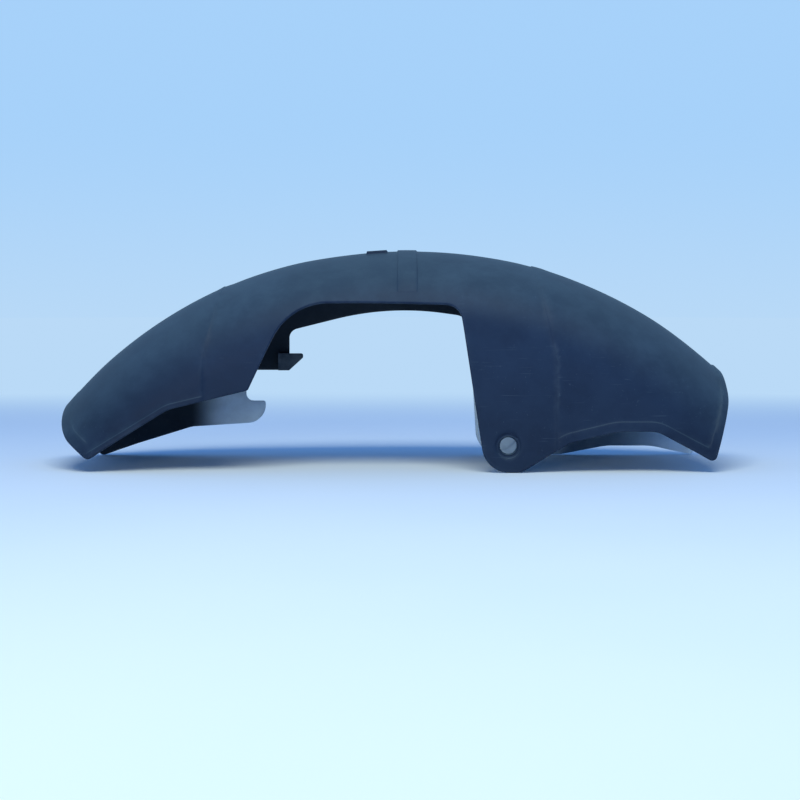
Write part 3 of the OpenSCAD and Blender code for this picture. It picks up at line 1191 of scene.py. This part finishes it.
        # Painted light: the guard is lighter high up and darker on the low skirts, where shade
        # falls; the clouds partly paint a blue sheen.
        even, clouded, high = self.fade_parts
        fade = (even + (cloud * 0.6 + blotch * 0.4).between(*self.fade_contrast) * clouded
                + z.between(*self.fade_and_top_light_z) * high) * self.fade_and_sheen_share
        # Dust on faces that look up, which also paints them lighter, as painted top light.
        settled_dust_and_top_light = up.between(*self.looks_up) * patchy(blotch, self.dust_patches, 0.3)
        film = (blotch * 0.5 + cloud * 0.5).between(*self.film_contrast) * self.film_share
        dust_and_top_light = settled_dust_and_top_light * self.up_dust_and_light_share + film
        streaks = self.streaks.on(g, at) * self.film_share * 0.5
        # Painted light that pools low on the inner face where the lamps reach it through the
        # cut-outs.
        painted_light_pool = self.painted_light_pool(x, z, cloud, blotch)
        marks = (self.lines.on(g, at) + self.hairs.on(g, at)) * cloud.between(*self.scratched)
        marks = marks * self.scuff_share
        # Rubbed edges are real wear; along the crests of the creases this paints a highlight.
        rubbed_and_highlit = edge * blotch.between(*self.rub_and_highlight_patches)

        colour = g.mix(fade, self.plastic, self.faded_and_sheen)
        colour = g.mix(dust_and_top_light + streaks, colour, self.dust_and_light)
        colour = g.mix(painted_light_pool, colour, self.dust_and_light)
        colour = g.mix(marks + rubbed_and_highlit * self.rub_and_highlight_share, colour, self.scuff)

        rough = (self.roughness + (blotch - 0.5) * self.mottle
                 + (dust_and_top_light + painted_light_pool) * self.dust_rough + marks * self.mark_rough
                 - rubbed_and_highlit * self.rub_polish + (speck - 0.5) * self.speck_rough)
        cells = g.node("ShaderNodeTexVoronoi", {"feature": "SMOOTH_F1"},
                       {"Vector": at, "Scale": 1 / self.grain})
        of_grain, of_specks, of_marks = self.relief_parts
        depth, strength = self.relief
        bump = g.node("ShaderNodeBump", {}, {
            "Height": cells * of_grain + speck * of_specks - marks * of_marks,
            "Distance": depth, "Strength": strength})
        shader = g.node("ShaderNodeBsdfPrincipled", {}, {
            "Base Color": colour, "Roughness": rough, "Normal": bump,
            "IOR": 1.5, "Specular IOR Level": self.gloss})
        g.node("ShaderNodeOutputMaterial", {}, {"Surface": shader})
        return material


# Its up-facing dust also paints the crown lighter, as painted top light.
OUTSIDE_FINISH = MouldedFinish(
    name="matt_black_moulding", plastic=(0.006, 0.012, 0.028), faded_and_sheen=(0.012, 0.027, 0.064),
    dust_and_light=(0.15, 0.23, 0.26), scuff=(0.06, 0.09, 0.13), roughness=0.50,
    fade_and_sheen_share=1.0, up_dust_and_light_share=0.27, film_share=0.02, scuff_share=0.3)
# Its near-white dust colour is mostly painted light, laid low on the inner face by the light pool.
INSIDE_FINISH = MouldedFinish(
    name="dusty_inner_moulding_with_painted_light", plastic=(0.008, 0.015, 0.026), faded_and_sheen=(0.014, 0.023, 0.034),
    dust_and_light=(0.74, 0.86, 0.95), scuff=(0.10, 0.12, 0.14), roughness=0.60,
    fade_and_sheen_share=0.8, up_dust_and_light_share=0.04, film_share=0.015, scuff_share=0.2, light_pool_share=1.0)
# A lighter copy of the same moulding: dust, and painted light on the foot, which is lit beside the
# shaded web.
LIT_GUIDE_FINISH = MouldedFinish(
    name="dusty_guide_moulding_painted_lit", plastic=(0.012, 0.022, 0.040), faded_and_sheen=(0.02, 0.035, 0.060),
    dust_and_light=(0.30, 0.38, 0.44), scuff=(0.12, 0.14, 0.16), roughness=0.60,
    fade_and_sheen_share=0.8, up_dust_and_light_share=0.5, film_share=0.4, scuff_share=0.3)


# ---- the guard ----


def add_object(name: str, data: bpy.types.ID) -> bpy.types.Object:
    """Make an object from its data and put it into the scene.

    Args:
        name: Name of the object.
        data: Its mesh, lamp or camera.

    Returns:
        The object.
    """
    made = bpy.data.objects.new(name, data)
    bpy.context.scene.collection.objects.link(made)
    return made


def mesh_from(bm: bmesh.types.BMesh, name: str) -> bpy.types.Mesh:
    """Turn a bmesh into a mesh, and free it.

    Args:
        bm: The bmesh.
        name: Name of the mesh.

    Returns:
        The mesh.
    """
    mesh = bpy.data.meshes.new(name)
    bm.to_mesh(mesh)
    bm.free()
    return mesh


def settle(obj: bpy.types.Object) -> None:
    """Turn an object's modifiers into its mesh.

    Args:
        obj: The object.
    """
    graph = bpy.context.evaluated_depsgraph_get()
    mesh = bpy.data.meshes.new_from_object(obj.evaluated_get(graph))
    obj.modifiers.clear()
    obj.data = mesh


def take_in(body: bpy.types.Object, other: bpy.types.Object) -> None:
    """Join another closed body into one, so that only their common outside is left.

    Args:
        body: The body that stays.
        other: The body that goes into it.
    """
    union = body.modifiers.new("union", "BOOLEAN")
    union.operation = "UNION"
    union.solver = "EXACT"
    union.object = other
    settle(body)
    bpy.data.objects.remove(other)


@dataclass
class HoseGuide:
    """The foot that holds the brake hose, set inwards from the far skirt on a short arm.

    Attributes:
        web_x: Rear edge of the web that carries it.
        low_z: Height of its lower edge.
        height: Height of the foot.
        length: Length of the foot past the web.
        root: Length of the foot along the web.
        inset: How far the foot is set inwards.
        wall: Thickness of the foot and its arm.
        skirt_y: Inner face of the far skirt.
        edge_radius: Radius of its edges.
        edge_steps: Number of faces that round off an edge.
        corner_radius: Radius of its corners, seen from the side.
        tip_share: Radius of the corners at its tip, as a share of its height.
        chin_share: Share of its height up to which it narrows towards the tip.
        arm_back: How far the arm's face lies behind the foot's.
        spacing: Greatest distance between two points of its outline.
    """

    web_x: float = -86.0
    low_z: float = 70.5
    height: float = 14.0
    length: float = 11.5
    root: float = 9.0
    inset: float = 7.0
    wall: float = 3.0
    skirt_y: float = 73.0
    edge_radius: float = 0.7
    edge_steps: int = 3
    corner_radius: float = 1.0
    tip_share: float = 0.12
    chin_share: float = 0.75
    arm_back: float = 0.2
    spacing: float = 1.0

    def prism(self, name: str, xz: Array, y0: float, y1: float) -> bpy.types.Object:
        """Stand a flat shape across the guard.

        Args:
            name: Name of the body.
            xz: The shape's outline, seen from the side.
            y0: Y of its one end.
            y1: Y of its other end.

        Returns:
            The closed body.
        """
        bm = bmesh.new()
        rim = [bm.verts.new((x * MM, y0 * MM, z * MM)) for x, z in xz]
        face = bm.faces.new(rim)
        moved = bmesh.ops.extrude_face_region(bm, geom=[face])["geom"]
        for vert in (item for item in moved if isinstance(item, bmesh.types.BMVert)):
            vert.co.y = y1 * MM
        bmesh.ops.recalc_face_normals(bm, faces=bm.faces)
        return add_object(name, mesh_from(bm, name))

    def build(self) -> bpy.types.Object:
        """Build the foot and its arm as one closed body.

        Returns:
            The body, which the shell takes in.
        """
        y_in = self.skirt_y - self.inset
        arm_x, low_z = self.web_x - self.root, self.low_z
        tip_x, top_z = self.web_x + self.length, low_z + self.height
        tip, round_by = self.height * self.tip_share, self.corner_radius
        corners = [
            Corner(arm_x, low_z, round_by), Corner(arm_x, top_z, round_by),
            Corner(tip_x, top_z, tip), Corner(tip_x, low_z + self.height * self.chin_share, tip),
            Corner(self.web_x, low_z, round_by),
        ]
        outline = rounded_path([corners[-1], *corners, corners[0]], self.spacing)
        foot = self.prism("guide_foot", outline, y_in, y_in + self.wall)
        arm_xz = np.array([
            (arm_x, low_z), (arm_x + self.wall, low_z),
            (arm_x + self.wall, top_z), (arm_x, top_z)])
        arm = self.prism(
            "guide_arm", arm_xz, y_in + self.arm_back, self.skirt_y + self.wall / 2)
        take_in(foot, arm)
        bevel = foot.modifiers.new("edges", "BEVEL")
        bevel.width = self.edge_radius * MM
        bevel.segments = self.edge_steps
        bevel.limit_method = "ANGLE"
        settle(foot)
        return foot


@dataclass
class MouldedShell:
    """The guard's shell as one closed mesh: both faces, the edges between them and the bores.

    Attributes:
        relief: What stands on the faces.
        edge_radius: Radius of the outer face's edges.
        inner_share: Radius of the inner face's edges, as a share of that.
        turns: Angles of the rows that round off an edge, in degrees.
        wear_length: Distance from an edge over which its wear fades.
        step_rows: How far to each side of a step its rows lie.
        edge_rows: Distances from every edge at which two more rows lie.
        row_step: Spacing of the places in a row.
        side_reach: How far down the sides the rows across the guard reach.
        skirt_reach: How far down the skirts the creases' rows reach.
        crease_passes: How often a crease's row is moved closer to its place.
        crease_clear: How far from a crease the rims' rows end.
        lip_overlap: How far past a tip the lips' rows reach.
        lip_reach: How far down the sides the lips' rows reach.
        strap_step: Spacing of the places along the strap's ends.
        strap_inset: How far from the strap's edge they begin.
        strap_past: How far past the strap's ends the rows along it reach.
        pad_step: Spacing of the places round the pad.
        pad_past: How far past the pad's corners its rows reach.
        pad_arc: Length along the section at the pad's sides, for each unit of Y.
        seat_share: The seat's rows lie closer together by this share.
        seat_steps: Number of places in each of the seat's rows.
        boss_steps: Number of places in each row of the pad behind a bore.
        row_clear: Least distance of a row's places from the rounded edges.
        row_apart: Least distance of a row's place from the others.
        grid: Spacing of the net in the open parts of the face.
        grid_clear: Least distance of the grid's places from the rounded edges.
        grid_apart: Least distance of a grid's place from the others, as a share of the grid.
    """

    relief: Relief = Relief()
    edge_radius: float = 0.9
    inner_share: float = 0.7
    turns: tuple[float, ...] = (0.0, 22.5, 45.0, 67.5, 90.0)
    wear_length: float = 1.3
    step_rows: tuple[float, ...] = (-0.5, -0.17, 0.17, 0.5)
    edge_rows: tuple[float, ...] = (1.6, 2.7)
    row_step: float = 2.0
    side_reach: float = 110.0
    skirt_reach: float = 110.0
    crease_passes: int = 8
    crease_clear: float = 9.0
    lip_overlap: float = 3.0
    lip_reach: float = 90.0
    strap_step: float = 1.8
    strap_inset: float = 0.5
    strap_past: float = 1.2
    pad_step: float = 1.5
    pad_past: float = 1.0
    pad_arc: float = 1.006
    seat_share: float = 0.8
    seat_steps: int = 64
    boss_steps: int = 84
    row_clear: float = 0.45
    row_apart: float = 0.28
    grid: float = 3.6
    grid_clear: float = 1.4
    grid_apart: float = 0.55

    @property
    def skin(self) -> Skin:
        """The face that the shell is built on."""
        return self.relief.edges.skin

    def strips(self) -> tuple[list[list[Array]], Array, Array]:
        """Lay out the rows of places that round off each edge.

        Returns:
            The rows of each edge from its rim inwards, and each row's distance and drop.
        """
        angles = np.radians(self.turns)
        away = self.edge_radius * (1 - np.cos(angles))
        drop = self.edge_radius * (1 - np.sin(angles))
        loop = self.relief.edges.loop()
        edges = [[inward(self.skin, loop, d) for d in away]]
        radius = self.relief.edges.bore_radius
        for side in Side:
            edges.append([self.relief.edges.ring(side, radius + d)[::-1] for d in away])
        return edges, away, drop

    def crease_rows(self, offset: float) -> list[Array]:
        """Lay out a row of places along each crease.

        Args:
            offset: How far past the crease the row lies.

        Returns:
            The rows.
        """
        rows = []
        reach = self.skin.section.skirt_start + self.skirt_reach
        v = np.arange(-reach, reach, self.row_step)
        for crease_x, side in (
            (self.relief.front_crease_x, -1), (self.relief.rear_crease_x, 1),
        ):
            u = np.full(len(v), crease_x)
            for _ in range(self.crease_passes):
                points = self.skin.place(np.column_stack([u, v]))
                u = u - (side * self.relief.past_crease(points, crease_x, side) - offset)
            rows.append(np.column_stack([u, v]))
        return rows

    def strap_rows(self, offset: float) -> list[Array]:
        """Lay out rows of places along the strap's sides and ends.

        Args:
            offset: How far behind or above each edge its row lies.

        Returns:
            The rows.
        """
        r, rows = self.relief, []
        v = np.arange(-self.side_reach, self.side_reach, self.row_step)
        for x in (r.strap_x, r.strap_x + r.strap_width):
            places = self.skin.at_x(x + offset, v)
            rows.append(places[self.skin.place(places)[:, 2] > r.strap_end_z - self.strap_past])
        x = np.arange(r.strap_x + self.strap_inset, r.strap_x + r.strap_width, self.strap_step)
        end = np.column_stack([x, np.full(len(x), r.strap_end_z + offset)])
        rows.extend(self.skin.locate(end, side) for side in Side)
        return rows

    def pad_rows(self, offset: float) -> list[Array]:
        """Lay out rows of places along the pad's four sides.

        Args:
            offset: How far towards +X or +Y of each side its row lies.

        Returns:
            The rows.
        """
        r, past = self.relief, self.pad_past
        half_length, half_width = r.pad_length / 2, r.pad_width / 2
        v = np.arange(-half_width - past, half_width + past, self.pad_step)
        rows = [self.skin.at_x(r.pad_x + x + offset, v) for x in (-half_length, half_length)]
        for y in (-half_width, half_width):
            along = np.arange(-half_length - past, half_length + past, self.pad_step) + r.pad_x
            v = np.array([y * self.pad_arc + offset])
            rows.append(np.vstack([self.skin.at_x(x, v) for x in along]))
        return rows

    def band_rows(self, offset: float) -> list[Array]:
        """Lay out rows of places along the lips and rim bands.

        Args:
            offset: How far past each band's inner edge its row lies.

        Returns:
            The rows.
        """
        r, edges, rows = self.relief, self.relief.edges, []
        for width, x0, x1 in (
            (r.front_rim, r.front_tip_x, r.front_crease_x - self.crease_clear),
            (r.front_lip, edges.front_x, r.front_tip_x + self.lip_overlap),
            (r.rear_rim, r.rear_crease_x + self.crease_clear, r.rear_tip_x),
            (r.rear_lip, r.rear_tip_x - self.lip_overlap, edges.rear_x),
        ):
            rows.extend(self.band_row(width + offset, x0, x1))
        return rows

    def band_row(self, width: float, x0: float, x1: float) -> list[Array]:
        """Lay out places at one distance from the outlines, between two positions.

        Args:
            width: The distance.
            x0: The foremost X.
            x1: The rearmost X.

        Returns:
            One row for each side, and one across an end that is reached.
        """
        rows = []
        edges = self.relief.edges
        for side in Side:
            xz = rounded_path(edges.corners(side), self.row_step)
            along = unit(np.gradient(xz, axis=0))
            xz = xz + np.column_stack([-along[:, 1], along[:, 0]]) * width
            xz = xz[(xz[:, 0] > x0) & (xz[:, 0] < x1)]
            rows.append(self.skin.locate(xz, side))
        v = np.arange(-self.lip_reach, self.lip_reach, self.row_step)
        if x0 <= edges.front_x:
            rows.append(self.skin.at_x(edges.front_x + width, v))
        if x1 >= edges.rear_x:
            rows.append(self.skin.at_x(edges.rear_x - width, v))
        return rows

    def feature_rows(self) -> list[Array]:
        """Lay out rows of places along every step of the relief.

        Returns:
            The rows, in order of importance.
        """
        r, edges = self.relief, self.relief.edges
        rows: list[Array] = []
        for offset in self.step_rows:
            for lay_out in (self.crease_rows, self.strap_rows, self.pad_rows, self.band_rows):
                rows.extend(lay_out(offset))
            for side in Side:
                seat = r.seat_radius + offset * self.seat_share
                rows.append(edges.ring(side, seat, self.seat_steps))
                rows.append(edges.ring(side, r.boss_radius + offset, self.boss_steps))
        for distance in self.edge_rows:
            rows.append(inward(self.skin, edges.loop(), distance))
            rows.extend(edges.ring(side, edges.bore_radius + distance) for side in Side)
        return rows

    def net(self, rims: list[Array]) -> Array:
        """Choose the places inside the innermost rows.

        Args:
            rims: The innermost row of each edge.

        Returns:
            The places, kept apart from each other and from the rims.
        """
        points = Sprinkle()
        for rim in rims:
            points.add(rim, 0, keep=False)
        loop = rims[0]
        closed = self.skin.place(np.vstack([loop, loop[:1]]))

        def within(places: Array, clear: float) -> Array:
            """Leave out the places that lie outside the guard or close to its edges."""
            places = places[np.isfinite(places).all(axis=1)]
            places = places[inside(places, loop)]
            solid = self.skin.place(places)
            bore = self.relief.from_bore(solid) - self.relief.edges.bore_radius
            far = distance_to(solid, closed)
            return places[(far > clear) & (bore > self.edge_radius + clear)]

        for row in self.feature_rows():
            points.add(within(row, self.row_clear), self.row_apart)
        low, high = loop.min(axis=0), loop.max(axis=0)
        grid = np.stack(np.meshgrid(
            np.arange(low[0], high[0], self.grid), np.arange(low[1], high[1], self.grid)), -1)
        places = within(grid.reshape(-1, 2), self.grid_clear)
        points.add(places, self.grid * self.grid_apart)
        return np.array(points.kept)

    def build(self) -> bpy.types.Object:
        """Build the shell's mesh.

        Returns:
            The object, with the slots of its outside and inside and its edge attribute set.
        """
        edges, away, drop = self.strips()
        rims = [rows[-1] for rows in edges]
        free = self.net(rims)
        rows = [row for edge in edges for row in edge]
        lengths = [len(row) for row in rows]
        ends = np.cumsum([0, *lengths])
        starts = ends[:-1].reshape(len(edges), -1).tolist()

        loop = self.skin.place(edges[0][0])
        solid = self.skin.place(free)
        to_edge = distance_to(solid, np.vstack([loop, loop[:1]]))
        to_bore = self.relief.from_bore(solid) - self.relief.edges.bore_radius
        distance = np.concatenate([
            np.repeat(np.tile(away, len(edges)), lengths), np.minimum(to_edge, to_bore)])
        sink = np.concatenate([
            np.repeat(np.tile(drop, len(edges)), lengths), np.zeros(len(free))])

        uv = np.vstack([*rows, free])
        base = self.skin.place(uv)
        gap = self.relief.to_outline(base)
        angle = self.skin.section.at(uv[:, 1])[2]
        top = self.relief.outer(base, gap, angle) - sink
        under = self.relief.inner(base, gap, angle) + sink * self.inner_share
        co = np.vstack([self.skin.place(uv, top), self.skin.place(uv, under)]) * MM
        triangles = self.triangulate(uv, rims, starts, int(ends[-1]))
        faces, parts = self.close(triangles, edges, starts, len(uv))

        mesh = bpy.data.meshes.new("moulded_shell")
        mesh.from_pydata(co.tolist(), [], faces)
        mesh.polygons.foreach_set("material_index", parts)
        mesh.polygons.foreach_set("use_smooth", np.ones(len(faces), bool))
        # Real wear beside the edges, with a painted highlight along the crests of the creases.
        wear_and_highlight = np.maximum(
            np.exp(-distance / self.wear_length), self.relief.crease_highlight(base))
        wear_and_highlight_layer = mesh.attributes.new("edge", "FLOAT", "POINT")
        wear_and_highlight_layer.data.foreach_set("value", np.tile(wear_and_highlight, 2).astype(np.float32))
        mesh.validate()
        log.info("shell: %d points, %d faces", len(co), len(faces))
        return add_object("moulded_shell", mesh)

    def close(self, triangles: Array, edges: list[list[Array]], starts: list[list[int]],
              count: int) -> tuple[list[Face], Array]:
        """Join the net and the rows of the edges into both faces and the wall between them.

        Args:
            triangles: The net's triangles, seen from outside.
            edges: The rows of each edge from its rim inwards.
            starts: Where each row of each edge starts.
            count: Number of places on the outer face; the inner face's follow them.

        Returns:
            The faces, and for each the index of its part.
        """
        faces: list[Face] = [tuple(t) for t in triangles]
        for rows, first in zip(edges, starts):
            n = len(rows[0])
            for a, b in zip(first, first[1:]):
                faces.extend((a + k, a + (k + 1) % n, b + (k + 1) % n, b + k) for k in range(n))
        outer = len(faces)
        faces.extend([tuple(i + count for i in reversed(face)) for face in faces])
        for rows, first in zip(edges, starts):
            n, a = len(rows[0]), first[0]
            faces.extend(
                (a + (k + 1) % n, a + k, a + k + count, a + (k + 1) % n + count)
                for k in range(n))
        parts = np.full(len(faces), Part.OUTSIDE.value, np.int32)
        parts[outer:2 * outer] = Part.INSIDE.value
        return faces, parts

    def triangulate(self, uv: Array, rims: list[Array], starts: list[list[int]],
                    free_start: int) -> Array:
        """Fill the net between the rims with triangles.

        Args:
            uv: All places.
            rims: The innermost row of each edge.
            starts: Where each row of each edge starts in uv.
            free_start: Where the net's own places start in uv.

        Returns:
            Triangles as rows of indices into uv, seen from outside.
        """
        index: list[int] = []
        ties: list[tuple[int, int]] = []
        for rim, rows in zip(rims, starts):
            first = len(index)
            n = len(rim)
            index.extend(range(rows[-1], rows[-1] + n))
            ties.extend((first + k, first + (k + 1) % n) for k in range(n))
        index.extend(range(free_start, len(uv)))
        points = [tuple(uv[i]) for i in index]
        made, _, cells, origin, _, _ = delaunay_2d_cdt(
            points, ties, [], 0, NET_TOLERANCE, True)
        if len(made) != len(points):
            log.warning("the net has %d places, and %d were given", len(made), len(points))
        source = np.array([index[ids[0]] if ids else -1 for ids in origin])
        cells = source[np.array(cells)]
        cells = cells[(cells >= 0).all(axis=1)]
        middle = uv[cells].mean(axis=1)
        keep = inside(middle, rims[0])
        for rim in rims[1:]:
            keep &= ~inside(middle, rim)
        cells = cells[keep]
        a, b, c = (uv[cells[:, k]] for k in range(3))
        area = (b[:, 0] - a[:, 0]) * (c[:, 1] - a[:, 1]) - (b[:, 1] - a[:, 1]) * (c[:, 0] - a[:, 0])
        cells[area < 0] = cells[area < 0][:, ::-1]
        return cells


@dataclass
class Mudguard:
    """The whole guard: the shell with the hose guide moulded on, and its three finishes.

    Attributes:
        shell: The shell.
        guide: The hose guide.
        node: The CAD node that the guard stands for.
        body: The CAD body that it rides on.
        slot: The record's material slot, which is not used.
    """

    shell: MouldedShell = field(default_factory=MouldedShell)
    guide: HoseGuide = field(default_factory=HoseGuide)
    node: str = "mudguard"
    body: str = "root"
    slot: str = "moulding"

    def build(self) -> bpy.types.Object:
        """Build and dress the guard, hang it on its body and hide the CAD node that it stands for.

        Returns:
            The guard's object.
        """
        guard, guide = self.shell.build(), self.guide.build()
        for finish in (OUTSIDE_FINISH, INSIDE_FINISH, LIT_GUIDE_FINISH):
            material = finish.make()
            guard.data.materials.append(material)
            guide.data.materials.append(material)
        for face in guide.data.polygons:
            face.material_index = Part.GUIDE.value
        take_in(guard, guide)
        guard.name = "front_mudguard"
        guard.data.name = "front_mudguard"
        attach(guard, self.body)
        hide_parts(self.node)
        log.info("%s: %d faces", guard.name, len(guard.data.polygons))
        return guard


# ---- the studio ----


@dataclass(frozen=True)
class Bench:
    """A plain pale bench that fades into the backdrop.

    Attributes:
        radius: Radius of the bench, in metres.
        sides: Number of sides of its outline.
        below: How far under the guard it lies, in metres.
        colour: Colour of its paper.
        backdrop: Colour of the backdrop.
        cloud_scale: Scale of the clouds in the paper.
        cloud_contrast: Noise between which they set in.
        cloud_share: How far they are tinted by the backdrop.
        roughness: Roughness of the paper.
        gloss: Strength of the paper's reflection.
        fade: Distances from the middle between which the bench becomes the backdrop.
        behind: The same behind the guard, where the backdrop comes down.
    """

    radius: float = 6.0
    sides: int = 96
    below: float = 0.0002
    colour: Colour = (0.90, 0.93, 0.95)
    backdrop: Colour = (0.49, 0.70, 0.93)
    cloud_scale: float = 3.0
    cloud_contrast: Span = (0.3, 0.7)
    cloud_share: float = 0.06
    roughness: float = 0.85
    gloss: float = 0.2
    fade: Span = (0.9, 2.2)
    behind: Span = (0.35, 1.0)

    def paper(self) -> bpy.types.Material:
        """Build the bench's material.

        Returns:
            The material, ready for a slot.
        """
        material, g = new_material("pale_paper")
        at = g.node("ShaderNodeTexCoord", output=3)
        reach = g.node("ShaderNodeVectorMath", {"operation": "LENGTH"}, {0: at}, output=1)
        clouds = g.noise(at, self.cloud_scale).between(*self.cloud_contrast)
        tint = g.mix(clouds * self.cloud_share, self.colour, self.backdrop)
        paper = g.node("ShaderNodeBsdfPrincipled", {}, {
            "Base Color": tint, "Roughness": self.roughness, "Specular IOR Level": self.gloss})
        glow = g.node("ShaderNodeEmission", {}, {"Color": (*self.backdrop, 1.0)})
        depth = g.node("ShaderNodeSeparateXYZ", {}, {0: at}, output=1)
        share = (reach.between(*self.fade) + depth.between(*self.behind)) * g.seen()
        both = g.node("ShaderNodeMixShader", {}, {0: share, 1: paper, 2: glow})
        g.node("ShaderNodeOutputMaterial", {}, {"Surface": both})
        return material

    def build(self) -> bpy.types.Object:
        """Build the bench just under the guard.

        Returns:
            The bench's object.
        """
        bm = bmesh.new()
        bmesh.ops.create_circle(bm, cap_ends=True, radius=self.radius, segments=self.sides)
        mesh = mesh_from(bm, "bench")
        mesh.materials.append(self.paper())
        bench = add_object("bench", mesh)
        bench.location.z = -self.below
        return bench


@dataclass(frozen=True)
class Softbox:
    """A large soft lamp.

    Attributes:
        name: Name of the lamp.
        place: Where it hangs, in metres.
        size: Its width and height, in metres.
        power: Its power, in watts.
        colour: Its colour.
        aim_height: Height above the guard's middle on the bench at which it is aimed.
    """

    name: str
    place: Triple
    size: Span
    power: float
    colour: Colour
    aim_height: float = 0.07

    def hang(self) -> bpy.types.Object:
        """Hang the lamp so that it faces the guard.

        Returns:
            The lamp's object.
        """
        lamp = bpy.data.lights.new(self.name, "AREA")
        lamp.shape = "RECTANGLE"
        lamp.size, lamp.size_y = self.size
        lamp.energy = self.power
        lamp.color = self.colour
        made = add_object(self.name, lamp)
        made.location = self.place
        made.visible_camera = False
        aim = Vector((0.0, 0.0, self.aim_height)) - made.location
        made.rotation_euler = aim.to_track_quat("-Z", "Y").to_euler()
        return made


@dataclass(frozen=True)
class Studio:
    """The bench, the lamps, the world and the camera.

    Attributes:
        bench: The bench.
        lamps: The soft lamps.
        world_colour: Colour of the light from all round.
        world_power: Strength of that light.
        zenith: Colour of the backdrop high up.
        horizon: Upward slopes of a ray between which the backdrop takes that colour.
        camera_x: Where the camera stands along the guard, in metres.
        camera_back: Its distance from the guard's middle, in metres.
        camera_height: Its height above the bench, in metres.
        pitch: How far it looks down, in degrees.
        lens: Its focal length, in millimetres.
        sensor: Width of its sensor, in millimetres.
    """

    bench: Bench = Bench()
    lamps: tuple[Softbox, ...] = (
        Softbox("top_softbox", (0.0, -1.15, 1.6), (1.3, 0.8), 23.0, (0.92, 1.0, 0.88)),
        Softbox("front_fill", (-0.55, -1.90, 0.32), (0.7, 0.25), 7.0, (0.92, 1.0, 0.90)),
    )
    world_colour: Colour = (0.12, 0.38, 1.0)
    world_power: float = 0.62
    zenith: Colour = (0.386, 0.64, 0.955)
    horizon: Span = (-0.05, 0.09)
    camera_x: float = 0.0055
    camera_back: float = 1.5
    camera_height: float = 0.1448
    pitch: float = 3.61
    lens: float = 85.5
    sensor: float = 36.0

    def world(self) -> None:
        """Light the scene from all round, with the backdrop behind the bench."""
        world = bpy.data.worlds.new("studio")
        world.use_nodes = True
        g = Graph(world.node_tree)
        ray = g.node("ShaderNodeTexCoord", output=0)
        rise = g.node("ShaderNodeSeparateXYZ", {}, {0: ray}, output=2)
        paper = g.mix(rise.between(*self.horizon), self.bench.backdrop, self.zenith)
        light = g.node("ShaderNodeBackground", {}, {
            "Color": (*self.world_colour, 1.0), "Strength": self.world_power})
        drop = g.node("ShaderNodeBackground", {}, {"Color": paper, "Strength": 1.0})
        both = g.node("ShaderNodeMixShader", {}, {0: g.seen(), 1: light, 2: drop})
        g.node("ShaderNodeOutputWorld", {}, {"Surface": both})
        bpy.context.scene.world = world

    def camera(self) -> None:
        """Stand the camera where the photograph was taken."""
        data = bpy.data.cameras.new("camera")
        data.lens = self.lens
        data.sensor_width = self.sensor
        camera = add_object("camera", data)
        camera.location = (self.camera_x, -self.camera_back, self.camera_height)
        camera.rotation_euler = (math.radians(90 - self.pitch), 0.0, 0.0)
        bpy.context.scene.camera = camera

    def build(self) -> None:
        """Build everything round the guard."""
        self.camera()
        self.world()
        self.bench.build()
        for lamp in self.lamps:
            lamp.hang()
            log.info("lamp: %s", lamp.name)
        bpy.context.scene.view_settings.view_transform = "Standard"


def main() -> None:
    """Build the guard and the studio, and write how large both models are."""
    logging.basicConfig(level=logging.INFO, format="%(name)s %(message)s")
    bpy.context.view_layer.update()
    Studio().build()
    whole = Mudguard()
    guard = whole.build()
    log.info("piece %s rides on %s", guard.name, whole.body)


if __name__ == "__main__":
    main()
